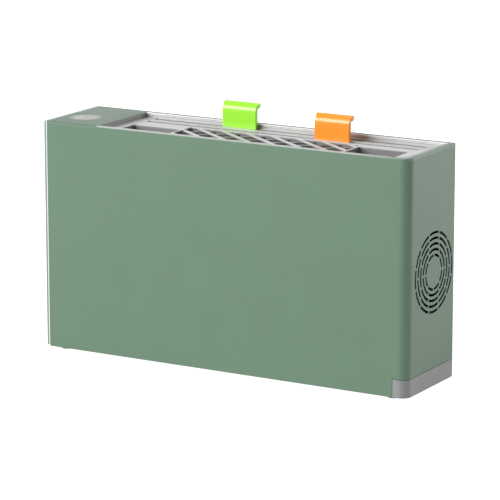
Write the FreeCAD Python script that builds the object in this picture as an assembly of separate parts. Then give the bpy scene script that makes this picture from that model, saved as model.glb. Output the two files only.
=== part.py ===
import FreeCAD, Part
import math
import os

# Knife sterilizer: a slim upright housing with a sunk, open top that holds knives, a pair of
# chopping boards and tools, dries them with a fan and disinfects them with lamps.
# X runs along the front, Y from front to back, Z up. The origin is on the surface that the
# housing stands on, under its middle. All sizes are in millimetres.

# Housing
BODY_LENGTH = 400.0
BODY_DEPTH = 97.0
BODY_HEIGHT = 226.4
FOOT_HEIGHT = 2.0
WALL = 2.4
REAR_WALL = 2.2
END_CAP = 3.6
END_CAP_LIFT = 1.0
END_CAP_RIM = 2.4
CORNER_RADIUS = 9.5
END_CAP_RADIUS = 1.2
REAR_EDGE_RADIUS = 1.8
TOP_EDGE = 0.6
BASE_PLATE = 2.2

# Clearances
SEAM = 0.2
RUNNING_GAP = 0.3
FIT = 0.1
LINER_GAP = 0.5

# How many flat sides stand for a circle: on screws and posts, on recesses and lamps, on the hub
SCREW_SIDE_COUNT = 6
ROUND_SIDE_COUNT = 12
HUB_SIDE_COUNT = 24

# Sunk top
RECESS_DEPTH = 5.0
RIM_THICKNESS = 2.2
RIM_FRONT = 3.6
RIM_RIGHT = 5.5
RIM_BACK = 3.5
RECESS_RADIUS = 13.0
RECESS_BACK_RADIUS = 3.2
FRAME_LIP = 2.6
FRAME_LIP_THICKNESS = 0.9
FRAME_DROP = 0.3
FRAME_STEM = 1.3
FRAME_DEPTH = 2.9

# Tool rack: slots for boards and blades, wells for tools
RACK_PLATE = 2.4
SLOT_WIDTH = 5.0
SLOT_CORNER = 1.0
SLOT_SKIRT = 5.0
SLOT_SKIRT_WALL = 1.4
SLOT_FROM_CAP = 14.0
SLOT_FROM_RIGHT = 26.0
REAR_SLOT_FROM_BACK = 10.0
FRONT_SLOT_FROM_BACK = 25.0
WELL_FROM_FRONT = 12.0
WELL_RADIUS = 2.5
LEFT_WELL_FROM_CAP = 12.0
LEFT_WELL_LENGTH = 54.0
LEFT_WELL_DEPTH = 38.0
MIDDLE_WELL_DEPTH = 52.3
RIGHT_WELL_FROM_RIGHT = 29.0
RIGHT_WELL_LENGTH = 53.0
RIGHT_WELL_DEPTH = 45.5
WELL_DIVIDER = 2.0
SLEEVE_WALL = 1.6
SLEEVE_DEPTH = 14.0

# Lattice over the middle well: two layers of slanting bars
LATTICE_PITCH = 27.7
LATTICE_ROW = 10.2
LATTICE_HOLE_X = 1.6
LATTICE_HOLE_FROM_FRONT = 48.1
BAR_WIDTH = 3.2
BAR_HEIGHT = 1.6

# Control cap with its round button
CAP_WIDTH = 61.0
CAP_PLATE = 2.4
CAP_SKIRT = 2.2
CAP_SKIRT_DEPTH = 9.0
LEDGE_DEPTH = 2.0
LEDGE_HEIGHT = 2.4
LEDGE_FROM_END = 6.0
BUTTON_FROM_LEFT = 24.0
BUTTON_FROM_FRONT = 38.0
RING_RADIUS = 16.6
RING_FLANGE = 1.2
BUTTON_RADIUS = 13.0
BUTTON_DROP = 0.2
BUTTON_FLANGE = 1.2
BUTTON_FLANGE_THICKNESS = 1.0
BUTTON_STEM_RADIUS = 2.5
BUTTON_TRAVEL = 0.8
LENS_RADIUS = 1.4
LENS_THICKNESS = 1.6

# Electronics
BOARD_SHEET = 1.6
CONTROL_BOARD_LENGTH = 46.0
CONTROL_BOARD_DEPTH = 54.0
CONTROL_BOARD_DROP = 11.0
CONTROL_BOARD_FROM_CAP = 4.8
SWITCH_SIDE = 6.0
SWITCH_BODY = 3.4
SWITCH_PLUNGER = 1.0
SWITCH_PLUNGER_RADIUS = 1.75
LED_COUNT = 6
LED_SIDE = 3.5
LED_HEIGHT = 1.6
POWER_BOARD_LENGTH = 42.0
POWER_BOARD_HEIGHT = 110.0
POWER_BOARD_LIFT = 58.0
POWER_BOARD_FROM_BACK = 16.9
POWER_BOARD_FROM_CAP = 6.8
POST_RADIUS = 3.0
POST_INSET = 4.0
TALL_CAN = (5.0, 16.0)
MIDDLE_CAN = (4.0, 11.0)
SMALL_CAN = (3.0, 8.0)
CAN_INSET = 12.0
CAN_LIFT = 23.0
SMALL_CAN_FROM_TOP = 18.0
TRANSFORMER_LIFT = 54.0
TRANSFORMER_CORE = (22.0, 13.0, 18.0)
TRANSFORMER_LIMB = 3.5
TRANSFORMER_BASE = 3.0
TRANSFORMER_COIL_INSET = 1.0
CONNECTOR = (10.0, 7.0, 6.0)
CONNECTOR_WALL = 0.8
CONNECTOR_FLOOR = 1.5
CONNECTOR_INSET = 10.0
CONNECTOR_DROPS = (26.0, 12.0)
RIGHT_CONNECTOR_INSET = 16.0
RIGHT_CONNECTOR_DROP = 6.0
BALLAST_LENGTH = 34.0
BALLAST_DEPTH = 28.0
BALLAST_HEIGHT = 25.8
BALLAST_FROM_FRONT = 22.6
BALLAST_CORNER = 2.0
INLET_FROM_LEFT = 32.0
INLET_LIFT = 28.0
INLET_RADIUS = 5.5
INLET_NOSE_RADIUS = 7.0
INLET_NOSE = 1.2
INLET_BORE = 2.85
INLET_PIN = 0.95
INLET_LENGTH = 14.0
INLET_FLOOR = 3.0
NUT_THICKNESS = 2.4
NUT_RIM = 2.2

# Bin under the rack, lamps and rests for the boards
LINER_WALL = 1.6
LINER_FROM_RIGHT = 22.6
LINER_FLOOR_LIFT = 19.5
LINER_RADIUS = 5.0
DRAIN_SLOT = 3.0
DRAIN_LENGTH = 40.0
DRAIN_PITCH = 56.0
VENT_PITCH = 7.0
VENT_COUNT = 9
VENT_HEIGHT = 46.0
REST_FROM_BOARD_END = 32.0
REST_THICKNESS = 6.0
REST_HEIGHT = 12.9
REST_GROOVE_LIFT = 2.9
REST_GROOVE_GAP = 0.5
LAMP_RADIUS = 4.0
LAMP_FROM_BACK = 34.0
LAMP_LIFTS = (80.0, 150.0)
LAMP_CAP_LENGTH = 10.0
HOLDER_LENGTH = 9.2
HOLDER_DEPTH = 10.4
HOLDER_HEIGHT = 13.0
HOLDER_BACK = 1.2

# Boards and their handles
BOARD_THICKNESS = 3.2
BOARD_SIDE_GAP = 3.0
BOARD_TOP_DROP = 23.4
BOARD_RADIUS = 12.0
HANDLE_WIDTH = 37.4
HANDLE_THICKNESS = 4.0
HANDLE_ROOT = 16.0
HANDLE_RISE = 11.6
HANDLE_BEND_RADIUS = 5.4
HANDLE_BEND_ANGLE = 50.0
HANDLE_LIP = 3.5
HANDLE_CORNER = 2.4
REAR_HANDLE_X = -28.8
FRONT_HANDLE_X = 81.8

# Fan and the grille in front of it
FAN_SIZE = 80.0
FAN_THICKNESS = 15.0
FAN_BORE = 38.0
FAN_DUCT_WALL = 1.6
FAN_FLANGE = 3.0
FAN_CORNER = 4.0
FAN_HOLE_SPACING = 71.5
FAN_FROM_BACK = 43.6
FAN_LIFT = 110.5
GASKET = 3.0
HUB_RADIUS = 15.0
HUB_WALL = 1.8
HUB_DEPTH = 10.6
HUB_EDGE = 1.0
HUB_END_GAP = 1.6
BLADE_COUNT = 7
BLADE_SECTIONS = 4
BLADE_SINK = 0.6
BLADE_TIP = 36.0
BLADE_THICKNESS = 1.4
BLADE_ROOT_CHORD = 12.5
BLADE_TIP_CHORD = 16.5
BLADE_ROOT_PITCH = 42.0
BLADE_TIP_PITCH = 28.0
SHAFT_RADIUS = 1.5
BEARING_RADIUS = 4.0
BEARING_END_GAP = 1.4
STATOR_LENGTH = 6.0
STATOR_GAP = 0.8
STATOR_SLOT = 3.2
STATOR_END_GAP = 1.0
STRUT_WIDTH = 3.0
STRUT_THICKNESS = 2.0
GRILLE_RADIUS = 38.0
GRILLE_PITCH = 5.4
GRILLE_SLOT = 2.5
GRILLE_BRIDGE = 2.2
GRILLE_SEGMENTS = (12, 10, 8, 6, 8)

# Drip tray
TRAY_HEIGHT = 17.3
TRAY_FRONT_RETURN = 14.8
TRAY_SEAM = 0.4
PAN_WALL = 1.8
PAN_FLOOR = 1.6
PAN_TOP_LIFT = 15.0
PAN_RADIUS = 5.0
PAN_END_GAP = 3.2
GUIDE_WALL = 2.0
GUIDE_LIP = 1.6
GUIDE_LIP_THICKNESS = 1.5

# Feet and fasteners
FOOT_RADIUS = 7.0
FOOT_SEAT = 0.8
FOOT_EDGE = 0.5
FOOT_INSET_X = 18.0
FOOT_INSET_Y = 10.5
SCREW_SHANK = 1.45
SCREW_HEAD = 2.8
SCREW_HEAD_HEIGHT = 1.2
SCREW_TIP_ROOM = 1.0
SCREW_LENGTH = 10.0
BOARD_SCREW_LENGTH = 6.0
SCREW_BLOCK = 8.2
SCREW_BLOCK_DEPTH = 12.0
REAR_SCREW_FROM_BOTTOM = 27.0
REAR_SCREW_FROM_TOP = 27.4
BASE_SCREW_INSET = 18.5
COLUMN_RADIUS = 3.7
COLUMN_HEIGHT = 23.8

# How far a cutting shape reaches past what it cuts, and how near two points are one
OVERCUT = 1.0
SAME_POINT = 1e-6

# Places that follow from the sizes above
LEFT = -BODY_LENGTH / 2
RIGHT = BODY_LENGTH / 2
FRONT = -BODY_DEPTH / 2
BACK = BODY_DEPTH / 2
BOTTOM = FOOT_HEIGHT
TOP = FOOT_HEIGHT + BODY_HEIGHT
INNER_LEFT = LEFT + END_CAP
INNER_RIGHT = RIGHT - WALL
INNER_FRONT = FRONT + WALL
INNER_BACK = BACK - REAR_WALL
BASE_TOP = BOTTOM + BASE_PLATE
CAP_EDGE = LEFT + CAP_WIDTH
CAP_UNDER = TOP - CAP_PLATE
RIM_UNDER = TOP - RIM_THICKNESS
RACK_TOP = TOP - RECESS_DEPTH
RACK_UNDER = RACK_TOP - RACK_PLATE
RACK_LEFT = CAP_EDGE + SEAM
REAR_SLOT_Y = BACK - REAR_SLOT_FROM_BACK
FRONT_SLOT_Y = BACK - FRONT_SLOT_FROM_BACK
SLOT_LEFT = CAP_EDGE + SLOT_FROM_CAP
SLOT_RIGHT = RIGHT - SLOT_FROM_RIGHT
WELL_FRONT = FRONT + WELL_FROM_FRONT
LEFT_WELL_X = CAP_EDGE + LEFT_WELL_FROM_CAP
RIGHT_WELL_X = RIGHT - RIGHT_WELL_FROM_RIGHT - RIGHT_WELL_LENGTH
LEFT_WELL = (LEFT_WELL_X, LEFT_WELL_X + LEFT_WELL_LENGTH, WELL_FRONT + LEFT_WELL_DEPTH)
RIGHT_WELL = (RIGHT_WELL_X, RIGHT_WELL_X + RIGHT_WELL_LENGTH, WELL_FRONT + RIGHT_WELL_DEPTH)
MIDDLE_WELL = (LEFT_WELL[1] + WELL_DIVIDER, RIGHT_WELL_X - WELL_DIVIDER,
               WELL_FRONT + MIDDLE_WELL_DEPTH)
LATTICE_SPLIT = RACK_TOP - BAR_HEIGHT
TRAY_TOP = BOTTOM + TRAY_HEIGHT
TRAY_FRONT_EDGE = RIGHT - TRAY_FRONT_RETURN
LINER_LEFT = RACK_LEFT
LINER_RIGHT = RIGHT - LINER_FROM_RIGHT
LINER_FRONT = INNER_FRONT + LINER_GAP
LINER_BACK = INNER_BACK - LINER_GAP
LINER_FLOOR = BOTTOM + LINER_FLOOR_LIFT
LINER_FLOOR_TOP = LINER_FLOOR + LINER_WALL
PAN_BOTTOM = BASE_TOP + RUNNING_GAP
PAN_TOP = BOTTOM + PAN_TOP_LIFT
PAN_LEFT = LINER_LEFT + LINER_WALL + PAN_END_GAP
GUIDE_REACH = min(-LINER_FRONT, LINER_BACK) - LINER_WALL - SEAM
PAN_HALF_DEPTH = GUIDE_REACH - GUIDE_WALL - RUNNING_GAP
LAMP_Y = BACK - LAMP_FROM_BACK
FAN_Y = BACK - FAN_FROM_BACK
FAN_Z = BOTTOM + FAN_LIFT
FAN_RIGHT = INNER_RIGHT - GASKET
FAN_LEFT = FAN_RIGHT - FAN_THICKNESS
FAN_DISC_LEFT = FAN_RIGHT - STRUT_THICKNESS
HUB_RIGHT = FAN_DISC_LEFT - HUB_END_GAP
HUB_LEFT = HUB_RIGHT - HUB_DEPTH
BEARING_LEFT = HUB_LEFT + HUB_WALL + BEARING_END_GAP
BUTTON_X = LEFT + BUTTON_FROM_LEFT
BUTTON_Y = FRONT + BUTTON_FROM_FRONT
RING_BORE = BUTTON_RADIUS + RUNNING_GAP
RING_UNDER = CAP_UNDER - RING_FLANGE
BUTTON_TOP = TOP - BUTTON_DROP
BUTTON_FLANGE_TOP = RING_UNDER - RUNNING_GAP
BUTTON_UNDER = BUTTON_FLANGE_TOP - BUTTON_FLANGE_THICKNESS
CONTROL_BOARD_TOP = TOP - CONTROL_BOARD_DROP
CONTROL_BOARD_UNDER = CONTROL_BOARD_TOP - BOARD_SHEET
SWITCH_TOP = CONTROL_BOARD_TOP + SWITCH_BODY
PLUNGER_TOP = SWITCH_TOP + SWITCH_PLUNGER
BUTTON_STEM_UNDER = PLUNGER_TOP + BUTTON_TRAVEL + RUNNING_GAP
POWER_BOARD_Y = BACK - POWER_BOARD_FROM_BACK
POWER_BOARD_LEFT = INNER_LEFT + POWER_BOARD_FROM_CAP
POWER_BOARD_RIGHT = POWER_BOARD_LEFT + POWER_BOARD_LENGTH
POWER_BOARD_LOW = BOTTOM + POWER_BOARD_LIFT
POWER_BOARD_HIGH = POWER_BOARD_LOW + POWER_BOARD_HEIGHT
BOARD_LEFT = SLOT_LEFT + BOARD_SIDE_GAP
BOARD_RIGHT = SLOT_RIGHT - BOARD_SIDE_GAP
BOARD_BOTTOM = LINER_FLOOR_TOP + REST_GROOVE_LIFT + RUNNING_GAP
BOARD_TOP = TOP - BOARD_TOP_DROP
INLET_X = LEFT + INLET_FROM_LEFT
INLET_Z = BOTTOM + INLET_LIFT
REAR_SCREW_HEIGHTS = (BOTTOM + REAR_SCREW_FROM_BOTTOM, TOP - REAR_SCREW_FROM_TOP)
BASE_SCREW_ROWS = (FRONT + BASE_SCREW_INSET, BACK - BASE_SCREW_INSET)
ALONG_X = FreeCAD.Vector(1, 0, 0)
ALONG_Y = FreeCAD.Vector(0, 1, 0)
UP = FreeCAD.Vector(0, 0, 1)


# Drawing helpers
def vec(x, y, z=0.0):
    return FreeCAD.Vector(x, y, z)


def box(x0, x1, y0, y1, z0, z1):
    return Part.makeBox(x1 - x0, y1 - y0, z1 - z0, vec(x0, y0, z0))


def rod(radius, start, end):
    axis = end - start
    return Part.makeCylinder(radius, axis.Length, start, axis)


def outlined(corners):
    """A flat face through its corners, with straight sides."""
    return Part.Face(Part.makePolygon(corners + corners[:1]))


def bar(radius, start, end, side_count=SCREW_SIDE_COUNT):
    """A rod with a few flat sides. Along one axis all bars have their corners in line."""
    turn = FreeCAD.Rotation(UP, end - start)
    corners = []
    for index in range(side_count):
        angle = 2 * math.pi * index / side_count
        corners.append(start + turn.multVec(vec(radius * math.cos(angle), radius * math.sin(angle))))
    return outlined(corners).extrude(end - start)


def post(radius, x, y, z0, z1, side_count=SCREW_SIDE_COUNT):
    return bar(radius, vec(x, y, z0), vec(x, y, z1), side_count)


def fused(first, *others):
    return first.fuse(list(others)).removeSplitter()


def rounded_face(corners):
    """A flat face through (x, y, radius) corners, each rounded by a tangent arc."""
    stretches = []
    for index, (x, y, radius) in enumerate(corners):
        here = vec(x, y)
        before = vec(*corners[index - 1][:2])
        after = vec(*corners[(index + 1) % len(corners)][:2])
        to_before = (before - here).normalize()
        to_after = (after - here).normalize()
        if radius <= 0:
            stretches.append((here, None, here))
            continue
        half_turn = to_before.getAngle(to_after) / 2
        setback = radius / math.tan(half_turn)
        bisector = (to_before + to_after).normalize()
        middle = here + bisector * (radius / math.sin(half_turn) - radius)
        stretches.append((here + to_before * setback, middle, here + to_after * setback))
    edges = []
    for index, (start, middle, end) in enumerate(stretches):
        previous_end = stretches[index - 1][2]
        if previous_end.distanceToPoint(start) > SAME_POINT:
            edges.append(Part.LineSegment(previous_end, start).toShape())
        if middle is not None:
            edges.append(Part.Arc(start, middle, end).toShape())
    return Part.Face(Part.Wire(edges))


def rounded_plan(x0, x1, y0, y1, front_left=0.0, front_right=0.0, back_right=0.0, back_left=0.0):
    return rounded_face([(x0, y0, front_left), (x1, y0, front_right),
                         (x1, y1, back_right), (x0, y1, back_left)])


def even_plan(x0, x1, y0, y1, radius):
    return rounded_plan(x0, x1, y0, y1, radius, radius, radius, radius)


def cut_corner_plan(x0, x1, y0, y1, cut):
    """A rectangle whose corners are cut off straight."""
    return outlined([vec(x0 + cut, y0), vec(x1 - cut, y0), vec(x1, y0 + cut), vec(x1, y1 - cut),
                     vec(x1 - cut, y1), vec(x0 + cut, y1), vec(x0, y1 - cut), vec(x0, y0 + cut)])


def prism(face, low, high):
    solid = face.extrude(vec(0, 0, high - low))
    solid.translate(vec(0, 0, low))
    return solid


def prism_along_x(face, low, high):
    """Extrude along X a face that was drawn with Y and Z as its two axes."""
    solid = prism(face, low, high)
    solid.rotate(vec(0, 0), vec(1, 1, 1), 120)
    return solid


def prism_along_y(face, low, high):
    """Extrude along Y a face that was drawn with X and Z as its two axes."""
    solid = prism(face, -high, -low)
    solid.rotate(vec(0, 0), ALONG_X, 90)
    return solid


def revolved(points, x, y):
    """Turn an outline of (radius, height) points about an upright axis."""
    solid = outlined([vec(r, 0, z) for r, z in points]).revolve(vec(0, 0), UP, 360)
    solid.translate(vec(x, y))
    return solid


def skinned(sections):
    """A solid that joins cross-sections of as many corners each by flat triangles."""
    faces = [outlined(sections[0]), outlined(sections[-1])]
    for lower, upper in zip(sections, sections[1:]):
        for index in range(len(lower)):
            after = (index + 1) % len(lower)
            faces.append(outlined([lower[index], lower[after], upper[after]]))
            faces.append(outlined([lower[index], upper[after], upper[index]]))
    return Part.makeSolid(Part.makeShell(faces))


def ring_sector(inner, outer, start, end):
    """A flat ring piece between two angles in degrees, with radial ends."""
    def at(radius, angle):
        return vec(radius * math.cos(math.radians(angle)), radius * math.sin(math.radians(angle)))
    middle = (start + end) / 2
    edges = [Part.Arc(at(outer, start), at(outer, middle), at(outer, end)).toShape(),
             Part.LineSegment(at(outer, end), at(inner, end)).toShape(),
             Part.Arc(at(inner, end), at(inner, middle), at(inner, start)).toShape(),
             Part.LineSegment(at(inner, start), at(outer, start)).toShape()]
    return Part.Face(Part.Wire(edges))


# Outlines that several pieces share
def housing_plan(inset, left, back):
    """The front and the fan side of the housing, drawn inset from their outer faces."""
    return rounded_plan(left, RIGHT - inset, FRONT + inset, back,
                        front_right=max(CORNER_RADIUS - inset, 0))


def recess_plan(inset, left):
    """The opening of the sunk top, which runs to the control cap on its left."""
    return rounded_plan(left, RIGHT - RIM_RIGHT - inset, FRONT + RIM_FRONT + inset,
                        BACK - RIM_BACK - inset,
                        front_right=max(RECESS_RADIUS - inset, 0),
                        back_right=max(RECESS_BACK_RADIUS - inset, 0))


def recess_ring(outer_inset, inner_inset, z0, z1):
    """A band along the front, right and back of the sunk top, open at the control cap."""
    outer = prism(recess_plan(outer_inset, RACK_LEFT), z0, z1)
    inner = prism(recess_plan(inner_inset, RACK_LEFT - OVERCUT), z0 - OVERCUT, z1 + OVERCUT)
    return outer.cut(inner)


def fan_square(corner):
    half = FAN_SIZE / 2
    return cut_corner_plan(FAN_Y - half, FAN_Y + half, FAN_Z - half, FAN_Z + half, corner)


def on_fan_axis(x):
    return vec(x, FAN_Y, FAN_Z)


# Fasteners: a place is the seat under the head, the way the screw points, and its length
def screw(place):
    seat, way, length = place
    return fused(bar(SCREW_HEAD, seat - way * SCREW_HEAD_HEIGHT, seat),
                 bar(SCREW_SHANK, seat, seat + way * length))


def screw_hole(place):
    """Room for a screw, with its head let in from outside."""
    seat, way, length = place
    head = bar(SCREW_HEAD + FIT * 2, seat - way * (SCREW_HEAD_HEIGHT + OVERCUT), seat, ROUND_SIDE_COUNT)
    return head.fuse(bar(SCREW_SHANK + FIT / 2, seat, seat + way * (length + SCREW_TIP_ROOM)))


def screws(places):
    return Part.makeCompound([screw(place) for place in places])


def rear_screw_places():
    seat_y = BACK - SCREW_HEAD_HEIGHT
    return [(vec(x, seat_y, z), -ALONG_Y, SCREW_LENGTH)
            for x in (INNER_LEFT + SCREW_BLOCK / 2, INNER_RIGHT - SCREW_BLOCK / 2)
            for z in REAR_SCREW_HEIGHTS]


def base_screw_places():
    seat_z = BOTTOM + SCREW_HEAD_HEIGHT
    return [(vec(x, y, seat_z), UP, SCREW_LENGTH)
            for x in (INNER_LEFT + SCREW_BLOCK / 2, LINER_LEFT - COLUMN_RADIUS)
            for y in BASE_SCREW_ROWS]


def power_post_places():
    return [(x, z) for x in (POWER_BOARD_LEFT + POST_INSET, POWER_BOARD_RIGHT - POST_INSET)
            for z in (POWER_BOARD_LOW + POST_INSET, POWER_BOARD_HIGH - POST_INSET)]


def control_board_plan():
    left = INNER_LEFT + CONTROL_BOARD_FROM_CAP
    back = BUTTON_Y + CONTROL_BOARD_DEPTH / 2
    return left, left + CONTROL_BOARD_LENGTH, back - CONTROL_BOARD_DEPTH, back


def control_post_places():
    left, right, front, back = control_board_plan()
    return [(x, y) for x in (left + POST_INSET, right - POST_INSET)
            for y in (front + POST_INSET, back - POST_INSET)]


def fan_hole_places():
    half = FAN_HOLE_SPACING / 2
    return [(FAN_Y + sy * half, FAN_Z + sz * half) for sy in (-1, 1) for sz in (-1, 1)]


def fan_screw_places():
    length = FAN_THICKNESS + GASKET - SCREW_TIP_ROOM / 2
    return [(vec(FAN_LEFT, y, z), ALONG_X, length) for y, z in fan_hole_places()]


def board_screw_places():
    power = [(vec(x, POWER_BOARD_Y, z), ALONG_Y, BOARD_SCREW_LENGTH) for x, z in power_post_places()]
    control = [(vec(x, y, CONTROL_BOARD_UNDER), UP, BOARD_SCREW_LENGTH)
               for x, y in control_post_places()]
    return power + control


# Housing pieces
def grille_slots():
    """Rings of arc slots; the innermost ring starts half a step on."""
    slots = []
    for ring, count in enumerate(GRILLE_SEGMENTS):
        radius = GRILLE_RADIUS - ring * GRILLE_PITCH
        step = 360.0 / count
        bridge = math.degrees(GRILLE_BRIDGE / radius)
        first = 90.0 if ring < len(GRILLE_SEGMENTS) - 1 else 90.0 + step / 2
        for index in range(count):
            middle = first + index * step
            half = (step - bridge) / 2
            face = ring_sector(radius - GRILLE_SLOT / 2, radius + GRILLE_SLOT / 2,
                               middle - half, middle + half)
            slot = prism_along_x(face, INNER_RIGHT - OVERCUT, RIGHT + OVERCUT)
            slot.translate(on_fan_axis(0))
            slots.append(slot)
    return slots


def cap_ledge(left, y0, y1):
    """A strip on a housing wall that carries the control cap."""
    return box(left + LEDGE_FROM_END, CAP_EDGE - CAP_SKIRT - LEDGE_FROM_END, y0, y1,
               CAP_UNDER - LEDGE_HEIGHT, CAP_UNDER)


def screw_blocks(x0, x1, back):
    half = SCREW_BLOCK / 2
    return [box(x0, x1, back - SCREW_BLOCK_DEPTH, back, z - half, z + half)
            for z in REAR_SCREW_HEIGHTS]


def front_shell():
    """Front and fan side in one sheet, with the rim of the sunk top turned inward."""
    left = INNER_LEFT + SEAM
    back = INNER_BACK - SEAM
    outside = prism(housing_plan(0, left, back), BOTTOM, TOP)
    rim_edges = [edge for edge in outside.Edges
                 if edge.BoundBox.ZMin > TOP - FIT
                 and edge.BoundBox.XMax > left + FIT and edge.BoundBox.YMin < back - FIT]
    outside = outside.makeChamfer(TOP_EDGE, rim_edges)
    hollow = prism(housing_plan(WALL, left - OVERCUT, back + OVERCUT), BOTTOM - OVERCUT, RIM_UNDER)
    rim_low = RIM_UNDER - OVERCUT
    past_top = TOP + OVERCUT
    recess = prism(recess_plan(0, RACK_LEFT), rim_low, past_top)
    cap_room = box(left - OVERCUT, RACK_LEFT, INNER_FRONT, back + OVERCUT, rim_low, past_top)
    cover_room = box(left - OVERCUT, RIGHT - RIM_RIGHT, BACK - RIM_BACK - OVERCUT, back + OVERCUT,
                     rim_low, past_top)
    cover_seam = box(RIGHT - RIM_RIGHT - OVERCUT, RIGHT + OVERCUT, BACK - RIM_BACK - SEAM,
                     back + OVERCUT, RIM_UNDER - SEAM, past_top)
    tray_room = box(TRAY_FRONT_EDGE - TRAY_SEAM, RIGHT + OVERCUT, FRONT - OVERCUT, BACK,
                    BOTTOM - OVERCUT, TRAY_TOP + TRAY_SEAM)
    shell = outside.cut([hollow, recess, cap_room, cover_room, cover_seam, tray_room])
    blocks = screw_blocks(INNER_RIGHT - SCREW_BLOCK, INNER_RIGHT, back)
    bosses = [bar(POST_RADIUS, vec(FAN_RIGHT, y, z), vec(INNER_RIGHT, y, z))
              for y, z in fan_hole_places()]
    rack_ledge = box(INNER_RIGHT - LEDGE_DEPTH, INNER_RIGHT, FAN_Y - FAN_SIZE / 2,
                     FAN_Y + FAN_SIZE / 2, RACK_UNDER - LEDGE_HEIGHT, RACK_UNDER)
    front_ledge = cap_ledge(left, INNER_FRONT, INNER_FRONT + LEDGE_DEPTH)
    shell = fused(shell, front_ledge, rack_ledge, *blocks, *bosses)
    holes = [screw_hole(place) for place in rear_screw_places() + fan_screw_places()]
    return shell.cut(grille_slots() + holes)


def left_end_cap():
    """The plate that closes the left end, with a locating rim and screw blocks inside."""
    low = BOTTOM + END_CAP_LIFT
    plate = prism(rounded_plan(LEFT, INNER_LEFT, FRONT, BACK, front_left=END_CAP_RADIUS,
                               back_left=END_CAP_RADIUS), low, TOP)
    outer_edges = [edge for edge in plate.Edges
                   if edge.BoundBox.ZMin > TOP - FIT and edge.BoundBox.XMax < INNER_LEFT - FIT]
    plate = plate.makeChamfer(TOP_EDGE, outer_edges)
    reach = INNER_LEFT + END_CAP_RIM
    rib = LINER_WALL
    rim_low = BASE_TOP + SEAM
    rim_high = CAP_UNDER - LEDGE_HEIGHT
    front = INNER_FRONT + SEAM
    back = INNER_BACK - SEAM
    ribs = [box(INNER_LEFT, reach, front, front + rib, rim_low, rim_high),
            box(INNER_LEFT, reach, back - rib, back, rim_low, rim_high),
            box(INNER_LEFT, reach, front + rib, back - rib, CAP_UNDER - rib, CAP_UNDER)]
    blocks = screw_blocks(INNER_LEFT, INNER_LEFT + SCREW_BLOCK, back)
    feet = [box(INNER_LEFT, INNER_LEFT + SCREW_BLOCK, y - SCREW_BLOCK / 2, y + SCREW_BLOCK / 2,
                BASE_TOP, BASE_TOP + SCREW_BLOCK_DEPTH) for y in BASE_SCREW_ROWS]
    cap = fused(plate, *ribs, *blocks, *feet)
    return cap.cut([screw_hole(place) for place in rear_screw_places() + base_screw_places()])


def rear_cover():
    """The back plate with the back rim of the sunk top and the posts of the power board."""
    left = INNER_LEFT + SEAM
    plate = prism(rounded_plan(left, RIGHT, INNER_BACK, BACK, back_right=REAR_EDGE_RADIUS),
                  BOTTOM, TOP)
    rim = box(RACK_LEFT, RIGHT, BACK - RIM_BACK, INNER_BACK, RIM_UNDER, TOP)
    recess = prism(recess_plan(0, RACK_LEFT), RIM_UNDER - OVERCUT, TOP + OVERCUT)
    cover = fused(plate, rim).cut(recess)
    top_edges = [edge for edge in cover.Edges
                 if edge.BoundBox.ZMin > TOP - FIT
                 and (edge.BoundBox.YMin > BACK - FIT or edge.BoundBox.XMin > RIGHT - FIT
                      or (edge.BoundBox.YMax > BACK - FIT and edge.BoundBox.XMax > RIGHT - FIT))]
    cover = cover.makeChamfer(TOP_EDGE, top_edges)
    posts = [bar(POST_RADIUS, vec(x, POWER_BOARD_Y + BOARD_SHEET, z), vec(x, INNER_BACK, z))
             for x, z in power_post_places()]
    cover = fused(cover, cap_ledge(left, INNER_BACK - LEDGE_DEPTH, INNER_BACK), *posts)
    inlet_room = rod(INLET_NOSE_RADIUS + FIT, vec(INLET_X, BACK - INLET_NOSE, INLET_Z),
                     vec(INLET_X, BACK + OVERCUT, INLET_Z))
    inlet_hole = bar(INLET_RADIUS + FIT, vec(INLET_X, INNER_BACK - OVERCUT, INLET_Z),
                     vec(INLET_X, BACK, INLET_Z), ROUND_SIDE_COUNT)
    places = rear_screw_places() + board_screw_places()
    return cover.cut([inlet_room, inlet_hole] + [screw_hole(place) for place in places])


def foot_places():
    return [(x, y) for x in (LEFT + FOOT_INSET_X, RIGHT - FOOT_INSET_X)
            for y in (FRONT + FOOT_INSET_Y, BACK - FOOT_INSET_Y)]


def base_plate():
    inset = WALL + RUNNING_GAP
    plate = prism(housing_plan(inset, INNER_LEFT + SEAM, INNER_BACK - SEAM), BOTTOM, BASE_TOP)
    seats = [post(FOOT_RADIUS + FIT, x, y, BOTTOM - OVERCUT, BOTTOM + FOOT_SEAT, ROUND_SIDE_COUNT)
             for x, y in foot_places()]
    return plate.cut(seats + [screw_hole(place) for place in base_screw_places()])


def rubber_feet():
    feet = []
    for x, y in foot_places():
        foot = post(FOOT_RADIUS, x, y, 0, BOTTOM + FOOT_SEAT, ROUND_SIDE_COUNT)
        sole = [edge for edge in foot.Edges if edge.BoundBox.ZMax < FIT]
        feet.append(foot.makeChamfer(FOOT_EDGE, sole))
    return Part.makeCompound(feet)


# Round control
def control_cap():
    """The plate over the control board, with a skirt towards the rack."""
    left = INNER_LEFT + SEAM
    front = INNER_FRONT + SEAM
    back = INNER_BACK - SEAM
    plate = box(left, CAP_EDGE, front, back, CAP_UNDER, TOP)
    skirt = box(CAP_EDGE - CAP_SKIRT, CAP_EDGE, front, back, TOP - CAP_SKIRT_DEPTH, CAP_UNDER)
    posts = [post(POST_RADIUS, x, y, CONTROL_BOARD_TOP, CAP_UNDER) for x, y in control_post_places()]
    cap = fused(plate, skirt, *posts)
    ring_hole = rod(RING_RADIUS + FIT, vec(BUTTON_X, BUTTON_Y, CAP_UNDER - OVERCUT),
                    vec(BUTTON_X, BUTTON_Y, TOP + OVERCUT))
    return cap.cut([ring_hole] + [screw_hole(place) for place in board_screw_places()])


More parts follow.
